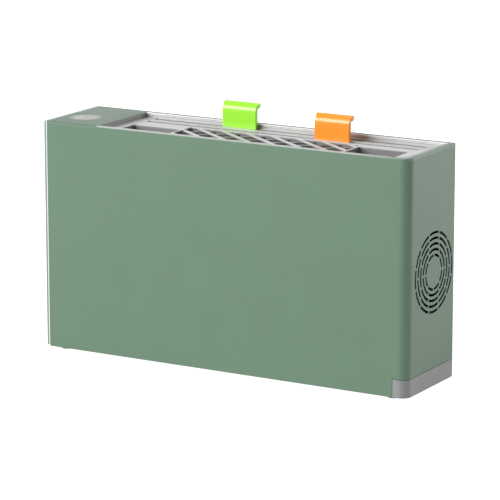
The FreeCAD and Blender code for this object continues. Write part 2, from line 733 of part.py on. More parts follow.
def light_ring():
    """A translucent ring, held by its flange under the cap."""
    top = TOP - FIT
    outline = [(RING_BORE, RING_UNDER), (RING_RADIUS + RING_FLANGE, RING_UNDER),
               (RING_RADIUS + RING_FLANGE, CAP_UNDER), (RING_RADIUS, CAP_UNDER),
               (RING_RADIUS, top), (RING_BORE, top)]
    return revolved(outline, BUTTON_X, BUTTON_Y)


def power_button():
    """A disc with a retaining flange and the stem that works the switch."""
    outline = [(0, BUTTON_UNDER), (RING_BORE + BUTTON_FLANGE, BUTTON_UNDER),
               (RING_BORE + BUTTON_FLANGE, BUTTON_FLANGE_TOP), (BUTTON_RADIUS, BUTTON_FLANGE_TOP),
               (BUTTON_RADIUS, BUTTON_TOP), (0, BUTTON_TOP)]
    button = revolved(outline, BUTTON_X, BUTTON_Y)
    stem = post(BUTTON_STEM_RADIUS, BUTTON_X, BUTTON_Y, BUTTON_STEM_UNDER, BUTTON_UNDER)
    lens_seat = post(LENS_RADIUS, BUTTON_X, BUTTON_Y, BUTTON_TOP - LENS_THICKNESS, TOP, ROUND_SIDE_COUNT)
    return fused(button, stem).cut(lens_seat)


def button_lens():
    return post(LENS_RADIUS, BUTTON_X, BUTTON_Y, BUTTON_TOP - LENS_THICKNESS, BUTTON_TOP, ROUND_SIDE_COUNT)


def control_board():
    board = box(*control_board_plan(), CONTROL_BOARD_UNDER, CONTROL_BOARD_TOP)
    return board.cut([screw_hole(place) for place in board_screw_places()])


def tact_switch():
    half = SWITCH_SIDE / 2
    body = box(BUTTON_X - half, BUTTON_X + half, BUTTON_Y - half, BUTTON_Y + half,
               CONTROL_BOARD_TOP, SWITCH_TOP)
    return fused(body, post(SWITCH_PLUNGER_RADIUS, BUTTON_X, BUTTON_Y, SWITCH_TOP, PLUNGER_TOP))


def ring_leds():
    radius = (RING_BORE + RING_RADIUS) / 2
    half = LED_SIDE / 2
    leds = []
    for index in range(LED_COUNT):
        angle = math.radians((index + 0.5) * 360.0 / LED_COUNT)
        x = BUTTON_X + radius * math.cos(angle)
        y = BUTTON_Y + radius * math.sin(angle)
        leds.append(box(x - half, x + half, y - half, y + half,
                        CONTROL_BOARD_TOP, CONTROL_BOARD_TOP + LED_HEIGHT))
    return Part.makeCompound(leds)


# Sunk top
def top_frame():
    """White trim: a lip under the rim's edge on a thin upright stem."""
    lip_top = TOP - FRAME_DROP
    lip = recess_ring(SEAM, SEAM + FRAME_LIP, lip_top - FRAME_LIP_THICKNESS, lip_top)
    stem = recess_ring(SEAM, SEAM + FRAME_STEM, TOP - FRAME_DEPTH, lip_top)
    return fused(lip, stem)


def well_prisms(grow, radius, z0, z1):
    return [prism(even_plan(x0 - grow, x1 + grow, WELL_FRONT - grow, back + grow, radius), z0, z1)
            for x0, x1, back in (LEFT_WELL, MIDDLE_WELL, RIGHT_WELL)]


def slot_prisms(grow, z0, z1):
    half = SLOT_WIDTH / 2 + grow
    return [prism(cut_corner_plan(SLOT_LEFT - grow, SLOT_RIGHT + grow, y - half, y + half,
                                  SLOT_CORNER), z0, z1) for y in (FRONT_SLOT_Y, REAR_SLOT_Y)]


def tool_rack():
    """The white insert: a plate with an upstand, sleeves under its wells and slots."""
    plate = prism(rounded_plan(RACK_LEFT, INNER_RIGHT - RUNNING_GAP, INNER_FRONT + RUNNING_GAP,
                               INNER_BACK - RUNNING_GAP,
                               front_right=max(CORNER_RADIUS - WALL - RUNNING_GAP, 0)),
                  RACK_UNDER, RACK_TOP)
    upstand = recess_ring(SEAM, SEAM + FRAME_STEM, RACK_TOP, TOP - FRAME_DEPTH - RUNNING_GAP)
    sleeve_low = RACK_TOP - SLEEVE_DEPTH
    sleeves = well_prisms(SLEEVE_WALL, 0, sleeve_low, RACK_UNDER)
    skirts = slot_prisms(SLOT_SKIRT_WALL, RACK_UNDER - SLOT_SKIRT, RACK_UNDER)
    rack = fused(plate, upstand, *sleeves, *skirts)
    wells = well_prisms(0, WELL_RADIUS, sleeve_low - OVERCUT, TOP)
    return rack.cut(wells + slot_prisms(0, sleeve_low, TOP))


def lattice_bars(slant, z0, z1):
    """Bars of one slant, cut off at the walls of the middle well."""
    x0, x1, back = MIDDLE_WELL
    cell = prism(even_plan(x0, x1, WELL_FRONT, back, WELL_RADIUS), z0, z1)
    along = vec(LATTICE_PITCH / 2, slant * LATTICE_ROW).normalize()
    across = vec(-along.y, along.x)
    reach = x1 - x0 + MIDDLE_WELL_DEPTH
    half = BAR_WIDTH / 2
    middle_y = FRONT + LATTICE_HOLE_FROM_FRONT
    first = math.floor((x0 - reach - LATTICE_HOLE_X) / LATTICE_PITCH)
    last = math.ceil((x1 + reach - LATTICE_HOLE_X) / LATTICE_PITCH)
    bars = []
    for index in range(first, last):
        centre = vec(LATTICE_HOLE_X + (index + 0.5) * LATTICE_PITCH, middle_y)
        corners = [centre + along * (a * reach) + across * (b * half)
                   for a, b in ((-1, -1), (1, -1), (1, 1), (-1, 1))]
        strip = prism(outlined(corners), z0, z1)
        least = BAR_WIDTH * BAR_WIDTH * (z1 - z0)
        bars += [piece for piece in strip.common(cell).Solids if piece.Volume > least]
    return Part.makeCompound(bars)


def lattice_upper_bars():
    return lattice_bars(-1, LATTICE_SPLIT, RACK_TOP)


def lattice_lower_bars():
    return lattice_bars(1, LATTICE_SPLIT - BAR_HEIGHT, LATTICE_SPLIT)


# Bin, lamps and board rests
def inner_liner():
    """A bin on the base plate; its fan side ends above the drip tray."""
    outside = prism(cut_corner_plan(LINER_LEFT, LINER_RIGHT, LINER_FRONT, LINER_BACK,
                                    LINER_RADIUS / 2), BASE_TOP, RACK_UNDER)
    inside = (LINER_LEFT + LINER_WALL, LINER_RIGHT - LINER_WALL,
              LINER_FRONT + LINER_WALL, LINER_BACK - LINER_WALL)
    upper = prism(even_plan(*inside, LINER_RADIUS - LINER_WALL), LINER_FLOOR_TOP,
                  RACK_UNDER + OVERCUT)
    lower = prism(cut_corner_plan(*inside, LINER_RADIUS / 2), BASE_TOP - OVERCUT, LINER_FLOOR)
    tray_door = box(LINER_RIGHT - LINER_RADIUS, LINER_RIGHT + OVERCUT, LINER_FRONT - OVERCUT,
                    LINER_BACK + OVERCUT, BASE_TOP - OVERCUT, LINER_FLOOR)
    liner = outside.cut([upper, lower, tray_door])
    columns = []
    web = COLUMN_RADIUS / 2
    x = LINER_LEFT - COLUMN_RADIUS
    top = BASE_TOP + COLUMN_HEIGHT
    for y in BASE_SCREW_ROWS:
        columns.append(post(COLUMN_RADIUS, x, y, BASE_TOP, top))
        columns.append(box(x, LINER_LEFT, y - web, y + web, BASE_TOP, top))
    liner = fused(liner, *columns)
    holes = [screw_hole(place) for place in base_screw_places()]
    return liner.cut(drain_slots() + vent_slots() + holes)


def drain_slots():
    """Rows of slots under the middle well and under both board slots."""
    count = int((LINER_RIGHT - LINER_LEFT - DRAIN_LENGTH) // DRAIN_PITCH)
    first = (LINER_LEFT + LINER_RIGHT) / 2 - DRAIN_PITCH * (count - 1) / 2
    half = DRAIN_SLOT / 2
    rows = (WELL_FRONT + LEFT_WELL_DEPTH / 2, FRONT_SLOT_Y, REAR_SLOT_Y)
    return [box(first + index * DRAIN_PITCH - DRAIN_LENGTH / 2,
                first + index * DRAIN_PITCH + DRAIN_LENGTH / 2, y - half, y + half,
                LINER_FLOOR - OVERCUT, LINER_FLOOR_TOP + OVERCUT)
            for index in range(count) for y in rows]


def vent_slots():
    half = DRAIN_SLOT / 2
    slots = []
    for index in range(VENT_COUNT):
        y = FAN_Y + (index - (VENT_COUNT - 1) / 2) * VENT_PITCH
        slots.append(box(LINER_RIGHT - LINER_WALL - OVERCUT, LINER_RIGHT + OVERCUT, y - half, y + half,
                         FAN_Z - VENT_HEIGHT / 2, FAN_Z + VENT_HEIGHT / 2))
    return slots


def board_rests():
    """Combs on the bin floor that keep the boards upright."""
    groove = BOARD_THICKNESS / 2 + REST_GROOVE_GAP
    half = REST_THICKNESS / 2
    front = FRONT_SLOT_Y - groove - half
    back = REAR_SLOT_Y + groove + half
    top = LINER_FLOOR_TOP + REST_HEIGHT
    grooves = [box(LEFT, RIGHT, y - groove, y + groove, LINER_FLOOR_TOP + REST_GROOVE_LIFT,
                   top + OVERCUT) for y in (FRONT_SLOT_Y, REAR_SLOT_Y)]
    middle = (BOARD_LEFT + BOARD_RIGHT) / 2
    rests = [box(x - half, x + half, front, back, LINER_FLOOR_TOP, top).cut(grooves)
             for x in (BOARD_LEFT + REST_FROM_BOARD_END, middle, BOARD_RIGHT - REST_FROM_BOARD_END)]
    return Part.makeCompound([solid for rest in rests for solid in rest.Solids])


def lamp_ends():
    left = LINER_LEFT + LINER_WALL + HOLDER_BACK
    right = LINER_RIGHT - LINER_WALL - HOLDER_BACK
    return left, right


def uv_lamps():
    left, right = lamp_ends()
    return Part.makeCompound([bar(LAMP_RADIUS, vec(left + LAMP_CAP_LENGTH, LAMP_Y, BOTTOM + lift),
                                  vec(right - LAMP_CAP_LENGTH, LAMP_Y, BOTTOM + lift), ROUND_SIDE_COUNT)
                              for lift in LAMP_LIFTS])


def lamp_caps():
    return Part.makeCompound([bar(LAMP_RADIUS + FIT, vec(end, LAMP_Y, BOTTOM + lift),
                                  vec(end + way * LAMP_CAP_LENGTH, LAMP_Y, BOTTOM + lift), ROUND_SIDE_COUNT)
                              for lift in LAMP_LIFTS for end, way in zip(lamp_ends(), (1, -1))])


def lamp_holders():
    """Sockets on the end walls of the bin."""
    holders = []
    half_y = HOLDER_DEPTH / 2
    half_z = HOLDER_HEIGHT / 2
    for lift in LAMP_LIFTS:
        z = BOTTOM + lift
        for wall, way in ((LINER_LEFT + LINER_WALL, 1), (LINER_RIGHT - LINER_WALL, -1)):
            x0, x1 = sorted((wall, wall + way * HOLDER_LENGTH))
            block = box(x0, x1, LAMP_Y - half_y, LAMP_Y + half_y, z - half_z, z + half_z)
            socket = bar(LAMP_RADIUS + FIT * 2.5, vec(wall + way * HOLDER_BACK, LAMP_Y, z),
                         vec(wall + way * (HOLDER_LENGTH + OVERCUT), LAMP_Y, z), ROUND_SIDE_COUNT)
            holders.append(block.cut(socket))
    return Part.makeCompound(holders)


# Boards
def hanging_board(y, handle_x):
    """A thin board with a notch in its top edge for the root of its handle."""
    half = BOARD_THICKNESS / 2
    face = even_plan(BOARD_LEFT, BOARD_RIGHT, BOARD_BOTTOM, BOARD_TOP, BOARD_RADIUS)
    board = prism_along_y(face, y - half, y + half)
    notch = box(handle_x - HANDLE_WIDTH / 2, handle_x + HANDLE_WIDTH / 2, y - half - OVERCUT,
                y + half + OVERCUT, BOARD_TOP - HANDLE_ROOT, BOARD_TOP + OVERCUT)
    return board.cut(notch)


def board_handle(y, handle_x):
    """A tab that bends back above the housing, with a round end and rounded corners."""
    half = HANDLE_THICKNESS / 2
    bend_z = TOP + HANDLE_RISE
    turn = math.radians(HANDLE_BEND_ANGLE)
    root_z = BOARD_TOP - HANDLE_ROOT

    def on_bend(radius, angle):
        centre_y = y + HANDLE_BEND_RADIUS
        return vec(centre_y - radius * math.cos(angle), bend_z + radius * math.sin(angle))

    outer = HANDLE_BEND_RADIUS + half
    inner = HANDLE_BEND_RADIUS - half
    leaning = vec(math.sin(turn), math.cos(turn))
    front_end = on_bend(outer, turn)
    back_end = on_bend(inner, turn)
    front_lip = front_end + leaning * HANDLE_LIP
    back_lip = back_end + leaning * HANDLE_LIP
    tip = on_bend(HANDLE_BEND_RADIUS, turn) + leaning * (HANDLE_LIP + half)
    edges = [Part.LineSegment(vec(y - half, root_z), vec(y - half, bend_z)).toShape(),
             Part.Arc(vec(y - half, bend_z), on_bend(outer, turn / 2), front_end).toShape(),
             Part.LineSegment(front_end, front_lip).toShape(),
             Part.Arc(front_lip, tip, back_lip).toShape(),
             Part.LineSegment(back_lip, back_end).toShape(),
             Part.Arc(back_end, on_bend(inner, turn / 2), vec(y + half, bend_z)).toShape(),
             Part.LineSegment(vec(y + half, bend_z), vec(y + half, root_z)).toShape(),
             Part.LineSegment(vec(y + half, root_z), vec(y - half, root_z)).toShape()]
    x0 = handle_x - HANDLE_WIDTH / 2
    x1 = handle_x + HANDLE_WIDTH / 2
    tab = prism_along_x(Part.Face(Part.Wire(edges)), x0, x1)
    top = tab.BoundBox.ZMax
    seen_from_front = rounded_face([(x0, root_z, 0), (x1, root_z, 0),
                                    (x1, top, HANDLE_CORNER), (x0, top, HANDLE_CORNER)])
    return tab.common(prism_along_y(seen_from_front, y - BODY_DEPTH, y + BODY_DEPTH))


# Fan
def fan_frame():
    """Two square flanges on a round duct, with struts that carry the motor."""
    square = fan_square(FAN_CORNER)
    left_flange = prism_along_x(square, FAN_LEFT, FAN_LEFT + FAN_FLANGE)
    right_flange = prism_along_x(square, FAN_RIGHT - FAN_FLANGE, FAN_RIGHT)
    duct = bar(FAN_BORE + FAN_DUCT_WALL, on_fan_axis(FAN_LEFT), on_fan_axis(FAN_RIGHT), HUB_SIDE_COUNT)
    bore = rod(FAN_BORE, on_fan_axis(FAN_LEFT - OVERCUT), on_fan_axis(FAN_RIGHT + OVERCUT))
    frame = fused(left_flange, right_flange, duct).cut(bore)
    disc = bar(HUB_RADIUS, on_fan_axis(FAN_DISC_LEFT), on_fan_axis(FAN_RIGHT), ROUND_SIDE_COUNT)
    struts = []
    for angle in (60, 180, 300):
        strut = box(FAN_DISC_LEFT, FAN_RIGHT, FAN_Y - STRUT_WIDTH / 2, FAN_Y + STRUT_WIDTH / 2,
                    FAN_Z + HUB_RADIUS / 2, FAN_Z + FAN_BORE + FAN_DUCT_WALL / 2)
        strut.rotate(on_fan_axis(0), ALONG_X, angle)
        struts.append(strut)
    bearing = bar(BEARING_RADIUS, on_fan_axis(BEARING_LEFT), on_fan_axis(FAN_DISC_LEFT), ROUND_SIDE_COUNT)
    shaft_room = bar(SHAFT_RADIUS + FIT, on_fan_axis(BEARING_LEFT - OVERCUT),
                     on_fan_axis(FAN_DISC_LEFT), ROUND_SIDE_COUNT)
    holes = [bar(SCREW_SHANK + FIT * 2, vec(FAN_LEFT - OVERCUT, y, z), vec(FAN_RIGHT + OVERCUT, y, z))
             for y, z in fan_hole_places()]
    return fused(frame, disc, bearing, *struts).cut([shaft_room] + holes)


def fan_stator():
    """The wound core inside the hub, with a slot between each two of its four poles."""
    right = FAN_DISC_LEFT - STATOR_END_GAP
    left = right - STATOR_LENGTH
    outer = HUB_RADIUS - HUB_WALL - STATOR_GAP
    core = bar(outer, on_fan_axis(left), on_fan_axis(right), ROUND_SIDE_COUNT)
    bore = bar(BEARING_RADIUS, on_fan_axis(left - OVERCUT), on_fan_axis(right + OVERCUT), ROUND_SIDE_COUNT)
    slots = []
    for angle in (45, 135, 225, 315):
        slot = box(left - OVERCUT, right + OVERCUT, FAN_Y - STATOR_SLOT / 2, FAN_Y + STATOR_SLOT / 2,
                   FAN_Z + (BEARING_RADIUS + outer) / 2, FAN_Z + outer + OVERCUT)
        slot.rotate(on_fan_axis(0), ALONG_X, angle)
        slots.append(slot)
    return core.cut([bore] + slots)


def fan_blade():
    """One twisted blade, skinned over cross-sections from the hub to its tip."""
    sections = []
    for index in range(BLADE_SECTIONS):
        share = index / (BLADE_SECTIONS - 1)
        radius = (HUB_RADIUS - BLADE_SINK) * (1 - share) + BLADE_TIP * share
        chord = BLADE_ROOT_CHORD * (1 - share) + BLADE_TIP_CHORD * share
        pitch = math.radians(BLADE_ROOT_PITCH * (1 - share) + BLADE_TIP_PITCH * share)
        along = vec(math.sin(pitch), math.cos(pitch))
        across = vec(math.cos(pitch), -math.sin(pitch))
        centre = vec((HUB_LEFT + HUB_RIGHT) / 2, FAN_Y, FAN_Z + radius)
        sections.append([centre + along * (a * chord / 2) + across * (b * BLADE_THICKNESS / 2)
                         for a, b in ((-1, -1), (1, -1), (1, 1), (-1, 1))])
    return skinned(sections)


def fan_rotor():
    hub = bar(HUB_RADIUS, on_fan_axis(HUB_LEFT), on_fan_axis(HUB_RIGHT), HUB_SIDE_COUNT)
    face_edges = [edge for edge in hub.Edges if edge.BoundBox.XMax < HUB_LEFT + FIT]
    hub = hub.makeChamfer(HUB_EDGE, face_edges)
    hollow = bar(HUB_RADIUS - HUB_WALL, on_fan_axis(HUB_LEFT + HUB_WALL),
                 on_fan_axis(HUB_RIGHT + OVERCUT), HUB_SIDE_COUNT)
    shaft = bar(SHAFT_RADIUS, on_fan_axis(HUB_LEFT + HUB_WALL / 2), on_fan_axis(HUB_RIGHT),
                ROUND_SIDE_COUNT)
    blades = []
    for index in range(BLADE_COUNT):
        blade = fan_blade()
        blade.rotate(on_fan_axis(0), ALONG_X, index * 360.0 / BLADE_COUNT)
        blades.append(blade)
    return fused(hub.fuse(blades).cut(hollow), shaft)


def fan_gasket():
    """Foam between the fan and the grille, trimmed to the inside of the housing."""
    sheet = prism_along_x(fan_square(FAN_CORNER), FAN_RIGHT, INNER_RIGHT)
    sheet = sheet.common(prism(housing_plan(WALL, FAN_LEFT, INNER_BACK), BOTTOM, TOP))
    bore = bar(FAN_BORE, on_fan_axis(FAN_RIGHT - OVERCUT), on_fan_axis(INNER_RIGHT + OVERCUT),
               HUB_SIDE_COUNT)
    holes = [bar(POST_RADIUS + FIT, vec(FAN_RIGHT - OVERCUT, y, z), vec(INNER_RIGHT + OVERCUT, y, z))
             for y, z in fan_hole_places()]
    return sheet.cut([bore] + holes)


# Drip tray
def drip_tray():
    """A pan on the base plate with a front that wraps the rounded corner."""
    back = INNER_BACK - RUNNING_GAP
    outside = prism(housing_plan(0, TRAY_FRONT_EDGE, back), BOTTOM, TRAY_TOP)
    hollow = prism(housing_plan(WALL, TRAY_FRONT_EDGE - OVERCUT, back + OVERCUT),
                   BOTTOM - OVERCUT, TRAY_TOP + OVERCUT)
    panel = outside.cut(hollow)
    pan = prism(rounded_plan(PAN_LEFT, INNER_RIGHT + WALL / 2, -PAN_HALF_DEPTH, PAN_HALF_DEPTH,
                             front_left=PAN_RADIUS, back_left=PAN_RADIUS), PAN_BOTTOM, PAN_TOP)
    room = prism(even_plan(PAN_LEFT + PAN_WALL, INNER_RIGHT - PAN_WALL,
                           PAN_WALL - PAN_HALF_DEPTH, PAN_HALF_DEPTH - PAN_WALL,
                           PAN_RADIUS - PAN_WALL), PAN_BOTTOM + PAN_FLOOR, PAN_TOP + OVERCUT)
    return fused(panel, pan.cut(room))


def tray_guides():
    """Two rails on the base plate, with a lip over the rim of the pan."""
    wall_y = PAN_HALF_DEPTH + RUNNING_GAP
    lip_low = PAN_TOP + RUNNING_GAP
    top = lip_low + GUIDE_LIP_THICKNESS
    outline = [vec(wall_y, BASE_TOP), vec(GUIDE_REACH, BASE_TOP), vec(GUIDE_REACH, top),
               vec(wall_y - GUIDE_LIP, top), vec(wall_y - GUIDE_LIP, lip_low), vec(wall_y, lip_low)]
    back_rail = prism_along_x(outlined(outline), PAN_LEFT, RIGHT - CORNER_RADIUS)
    front_rail = back_rail.mirror(vec(0, 0), ALONG_Y)
    return Part.makeCompound([front_rail, back_rail])


# Supply
def power_board():
    board = box(POWER_BOARD_LEFT, POWER_BOARD_RIGHT, POWER_BOARD_Y, POWER_BOARD_Y + BOARD_SHEET,
                POWER_BOARD_LOW, POWER_BOARD_HIGH)
    return board.cut([screw_hole(place) for place in board_screw_places()])


def capacitors():
    """Two cans side by side at the foot of the power board and a small one at its head."""
    places = ((POWER_BOARD_LEFT + CAN_INSET, POWER_BOARD_LOW + CAN_LIFT, TALL_CAN),
              (POWER_BOARD_RIGHT - CAN_INSET, POWER_BOARD_LOW + CAN_LIFT, MIDDLE_CAN),
              (POWER_BOARD_RIGHT - CAN_INSET, POWER_BOARD_HIGH - SMALL_CAN_FROM_TOP, SMALL_CAN))
    return Part.makeCompound([bar(radius, vec(x, POWER_BOARD_Y - length, z), vec(x, POWER_BOARD_Y, z),
                                  ROUND_SIDE_COUNT) for x, z, (radius, length) in places])


def transformer():
    """Ferrite core around a wound bobbin."""
    length, depth, height = TRANSFORMER_CORE
    x = (POWER_BOARD_LEFT + POWER_BOARD_RIGHT) / 2
    z = POWER_BOARD_LOW + TRANSFORMER_LIFT
    back = POWER_BOARD_Y - TRANSFORMER_BASE
    front = back - depth
    half_x = length / 2 - TRANSFORMER_LIMB
    half_z = height / 2 - TRANSFORMER_LIMB
    core = box(x - length / 2, x + length / 2, front, back, z - height / 2, z + height / 2)
    window = box(x - half_x, x + half_x, front - OVERCUT, back + OVERCUT, z - half_z, z + half_z)
    coil = box(x - half_x, x + half_x, front + TRANSFORMER_COIL_INSET, back - TRANSFORMER_COIL_INSET,
               z - half_z, z + half_z)
    inset = TRANSFORMER_COIL_INSET
    foot = box(x - length / 2 + inset, x + length / 2 - inset, back, POWER_BOARD_Y,
               z - height / 2 + inset, z + height / 2 - inset)
    return fused(core.cut(window), coil, foot)


def board_connectors():
    """Open plug housings near the head of the power board."""
    length, depth, height = CONNECTOR
    places = [(POWER_BOARD_LEFT + CONNECTOR_INSET, POWER_BOARD_HIGH - drop) for drop in CONNECTOR_DROPS]
    places.append((POWER_BOARD_RIGHT - RIGHT_CONNECTOR_INSET, POWER_BOARD_HIGH - RIGHT_CONNECTOR_DROP))
    shells = []
    for x, z in places:
        shell = box(x - length / 2, x + length / 2, POWER_BOARD_Y - depth, POWER_BOARD_Y,
                    z - height / 2, z + height / 2)
        half_x = length / 2 - CONNECTOR_WALL
        half_z = height / 2 - CONNECTOR_WALL
        mouth = box(x - half_x, x + half_x, POWER_BOARD_Y - depth - OVERCUT,
                    POWER_BOARD_Y - CONNECTOR_FLOOR, z - half_z, z + half_z)
        shells.append(shell.cut(mouth))
    return Part.makeCompound(shells)


def lamp_ballast():
    x = (INNER_LEFT + CAP_EDGE) / 2
    y = FRONT + BALLAST_FROM_FRONT
    half_x = BALLAST_LENGTH / 2
    half_y = BALLAST_DEPTH / 2
    return prism(cut_corner_plan(x - half_x, x + half_x, y - half_y, y + half_y, BALLAST_CORNER),
                 BASE_TOP, BASE_TOP + BALLAST_HEIGHT)


def power_inlet():
    """A barrel socket through the rear cover, flush with it."""
    def at(y):
        return vec(INLET_X, y, INLET_Z)
    nose = rod(INLET_NOSE_RADIUS, at(BACK - INLET_NOSE), at(BACK))
    barrel = bar(INLET_RADIUS, at(BACK - INLET_LENGTH), at(BACK - INLET_NOSE), ROUND_SIDE_COUNT)
    floor = BACK - INLET_LENGTH + INLET_FLOOR
    bore = bar(INLET_BORE, at(floor), at(BACK + OVERCUT), HUB_SIDE_COUNT)
    pin = bar(INLET_PIN, at(floor), at(BACK - INLET_NOSE))
    return fused(fused(nose, barrel).cut(bore), pin)


def inlet_nut():
    across = INLET_RADIUS + NUT_RIM
    corners = [vec(INLET_X + across * math.cos(math.radians(60 * side)),
                   INLET_Z + across * math.sin(math.radians(60 * side))) for side in range(6)]
    nut = prism_along_y(outlined(corners), INNER_BACK - NUT_THICKNESS, INNER_BACK)
    return nut.cut(bar(INLET_RADIUS, vec(INLET_X, INNER_BACK - NUT_THICKNESS - OVERCUT, INLET_Z),
                       vec(INLET_X, INNER_BACK + OVERCUT, INLET_Z), ROUND_SIDE_COUNT))


NODES = {
    "front_shell": front_shell,
    "left_end_cap": left_end_cap,
    "rear_cover": rear_cover,
    "base_plate": base_plate,
    "rubber_feet": rubber_feet,
    "control_cap": control_cap,
    "light_ring": light_ring,
    "power_button": power_button,
    "button_lens": button_lens,
    "control_board": control_board,
    "tact_switch": tact_switch,
    "ring_leds": ring_leds,
    "top_frame": top_frame,
    "tool_rack": tool_rack,
    "lattice_upper_bars": lattice_upper_bars,
    "lattice_lower_bars": lattice_lower_bars,
    "inner_liner": inner_liner,
    "board_rests": board_rests,
    "uv_lamps": uv_lamps,
    "lamp_caps": lamp_caps,
    "lamp_holders": lamp_holders,
    "rear_board": lambda: hanging_board(REAR_SLOT_Y, REAR_HANDLE_X),
    "rear_board_handle": lambda: board_handle(REAR_SLOT_Y, REAR_HANDLE_X),
    "front_board": lambda: hanging_board(FRONT_SLOT_Y, FRONT_HANDLE_X),
    "front_board_handle": lambda: board_handle(FRONT_SLOT_Y, FRONT_HANDLE_X),
    "fan_frame": fan_frame,
    "fan_stator": fan_stator,
    "fan_rotor": fan_rotor,
    "fan_gasket": fan_gasket,
    "fan_screws": lambda: screws(fan_screw_places()),
    "drip_tray": drip_tray,
    "tray_guides": tray_guides,
    "power_board": power_board,
    "capacitors": capacitors,
    "transformer": transformer,
    "board_connectors": board_connectors,
    "lamp_ballast": lamp_ballast,
    "power_inlet": power_inlet,
    "inlet_nut": inlet_nut,
    "rear_screws": lambda: screws(rear_screw_places()),
    "base_screws": lambda: screws(base_screw_places()),
    "board_screws": lambda: screws(board_screw_places()),
}


def main():
    os.makedirs("parts", exist_ok=True)
    for name, make in NODES.items():
        shape = make()
        if len(shape.Solids) == 1:
            shape = shape.Solids[0]
        shape.exportStep(os.path.join("parts", name + ".step"))
        print(name, len(shape.Solids), "solids", round(shape.Volume, 1), "valid", shape.isValid())


main()
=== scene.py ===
import math

import bmesh
import bpy
from mathutils import Matrix, Vector


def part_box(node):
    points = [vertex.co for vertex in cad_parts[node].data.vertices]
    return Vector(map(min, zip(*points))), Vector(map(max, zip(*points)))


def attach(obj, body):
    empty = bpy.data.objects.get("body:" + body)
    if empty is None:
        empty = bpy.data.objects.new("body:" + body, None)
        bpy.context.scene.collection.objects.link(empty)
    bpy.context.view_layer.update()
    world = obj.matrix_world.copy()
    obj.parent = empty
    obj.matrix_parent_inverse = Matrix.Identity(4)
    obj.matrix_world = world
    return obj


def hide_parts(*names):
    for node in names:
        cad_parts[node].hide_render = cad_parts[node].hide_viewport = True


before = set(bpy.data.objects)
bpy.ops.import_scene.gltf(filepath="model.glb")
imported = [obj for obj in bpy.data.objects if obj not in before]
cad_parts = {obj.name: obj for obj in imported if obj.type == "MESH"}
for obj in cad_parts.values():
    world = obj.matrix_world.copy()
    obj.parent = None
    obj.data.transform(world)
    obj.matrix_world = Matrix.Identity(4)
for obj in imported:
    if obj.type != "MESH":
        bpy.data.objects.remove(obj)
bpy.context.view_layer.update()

MM = 0.001

# Camera: the photograph's own view
VIEW_AZIMUTH = 30.01
VIEW_ELEVATION = 12.78
VIEW_DISTANCE = 2.849
VIEW_TARGET = (0.0046, 0.0, 0.1126)
VIEW_LENS = 212.6
VIEW_SENSOR = 36.0
VIEW_REACH = 50.0

# Studio: powers are in watts, sizes and distances in metres
FLOOR_HALF = 9.0
FLOOR_ALBEDO = 0.40
FLOOR_GLOW = 1.00
SKY_STRENGTH = 0.20

# Wrap: its edges grow rounder towards the top; its rim top carries a painted highlight beside the sunk top,
# the top edge of its right side a painted highlight, and its grille's slot walls painted shade
GRILLE_EDGE_RADIUS = 0.45 * MM
TOP_EDGE_RADIUS = 1.8 * MM
TOP_EDGE_START = 8.0 * MM
TOP_EDGE_FULL = 6.0 * MM
RIM_HIGHLIGHT_START = 1.0 * MM
FRONT_RIM = 0.5 * MM
SIDE_RIM = 3.2 * MM
SIDE_RIM_START = 4.0 * MM
SIDE_RIM_FULL = 1.0 * MM
GRILLE_REACH = 41.0 * MM
GRILLE_SHADE_START = 0.3 * MM

# Where painted shade and painted highlight on a piece begin and end
PAINT_EDGE = 0.03 * MM
STEP_WALL_DEPTH = 0.15 * MM
END_EDGE_WIDTH = 1.1 * MM
WALL_SHADE_START = 0.2 * MM
WALL_SHADE_DEPTH = 1.2 * MM
SLOTS_FROM_BACK = 28.0 * MM
FRONT_LIP_WIDTH = 8.0 * MM
BACK_WALL_WIDTH = 5.0 * MM
RIGHT_END_SHADE_LENGTH = 60.0 * MM
RIGHT_END_SHADE_FULL = 12.0 * MM

# Tab handles of the boards
HANDLE_THICKNESS = 4.0 * MM
HANDLE_BEND_RADIUS = 5.4 * MM
HANDLE_BEND = math.radians(50.0)
HANDLE_LIP = 3.3 * MM
HANDLE_EDGE = 1.0 * MM
HANDLE_SIDE_BULGE = 0.4 * MM
BEAD_RADIUS = 2.6 * MM
BEAD_EDGE = 0.7 * MM
BEAD_OVERHANG = 1.0 * MM
BEND_STEPS = 10
CORNER_STEPS = 5

# Rubber feet and the button's lens
FOOT_RADIUS = 7.0 * MM
FOOT_EDGE = 0.6 * MM
LENS_EDGE = 0.25 * MM
RIM_STEPS = 4
TURNED_SIDES = 48

# Screws of the housing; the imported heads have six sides, so they are narrower one way
SCREW_SIDES = 32
SCREW_HEAD_RADIUS = 2.8 * MM
SCREW_HEAD_SIDE = SCREW_HEAD_RADIUS * math.cos(math.radians(30.0))
SCREW_HEAD_HEIGHT = 1.2 * MM
SCREW_HEAD_CHAMFER = SCREW_HEAD_HEIGHT / 3
SCREW_SHANK_RADIUS = 1.45 * MM
SCREW_TIP_SHARE = 0.6
CROSS_REACH = 0.62 * SCREW_HEAD_RADIUS
CROSS_HALF_WIDTH = 0.19 * SCREW_HEAD_RADIUS
CROSS_DEPTH = 0.9 * MM
CROSS_FLOOR_SHARE = 0.6


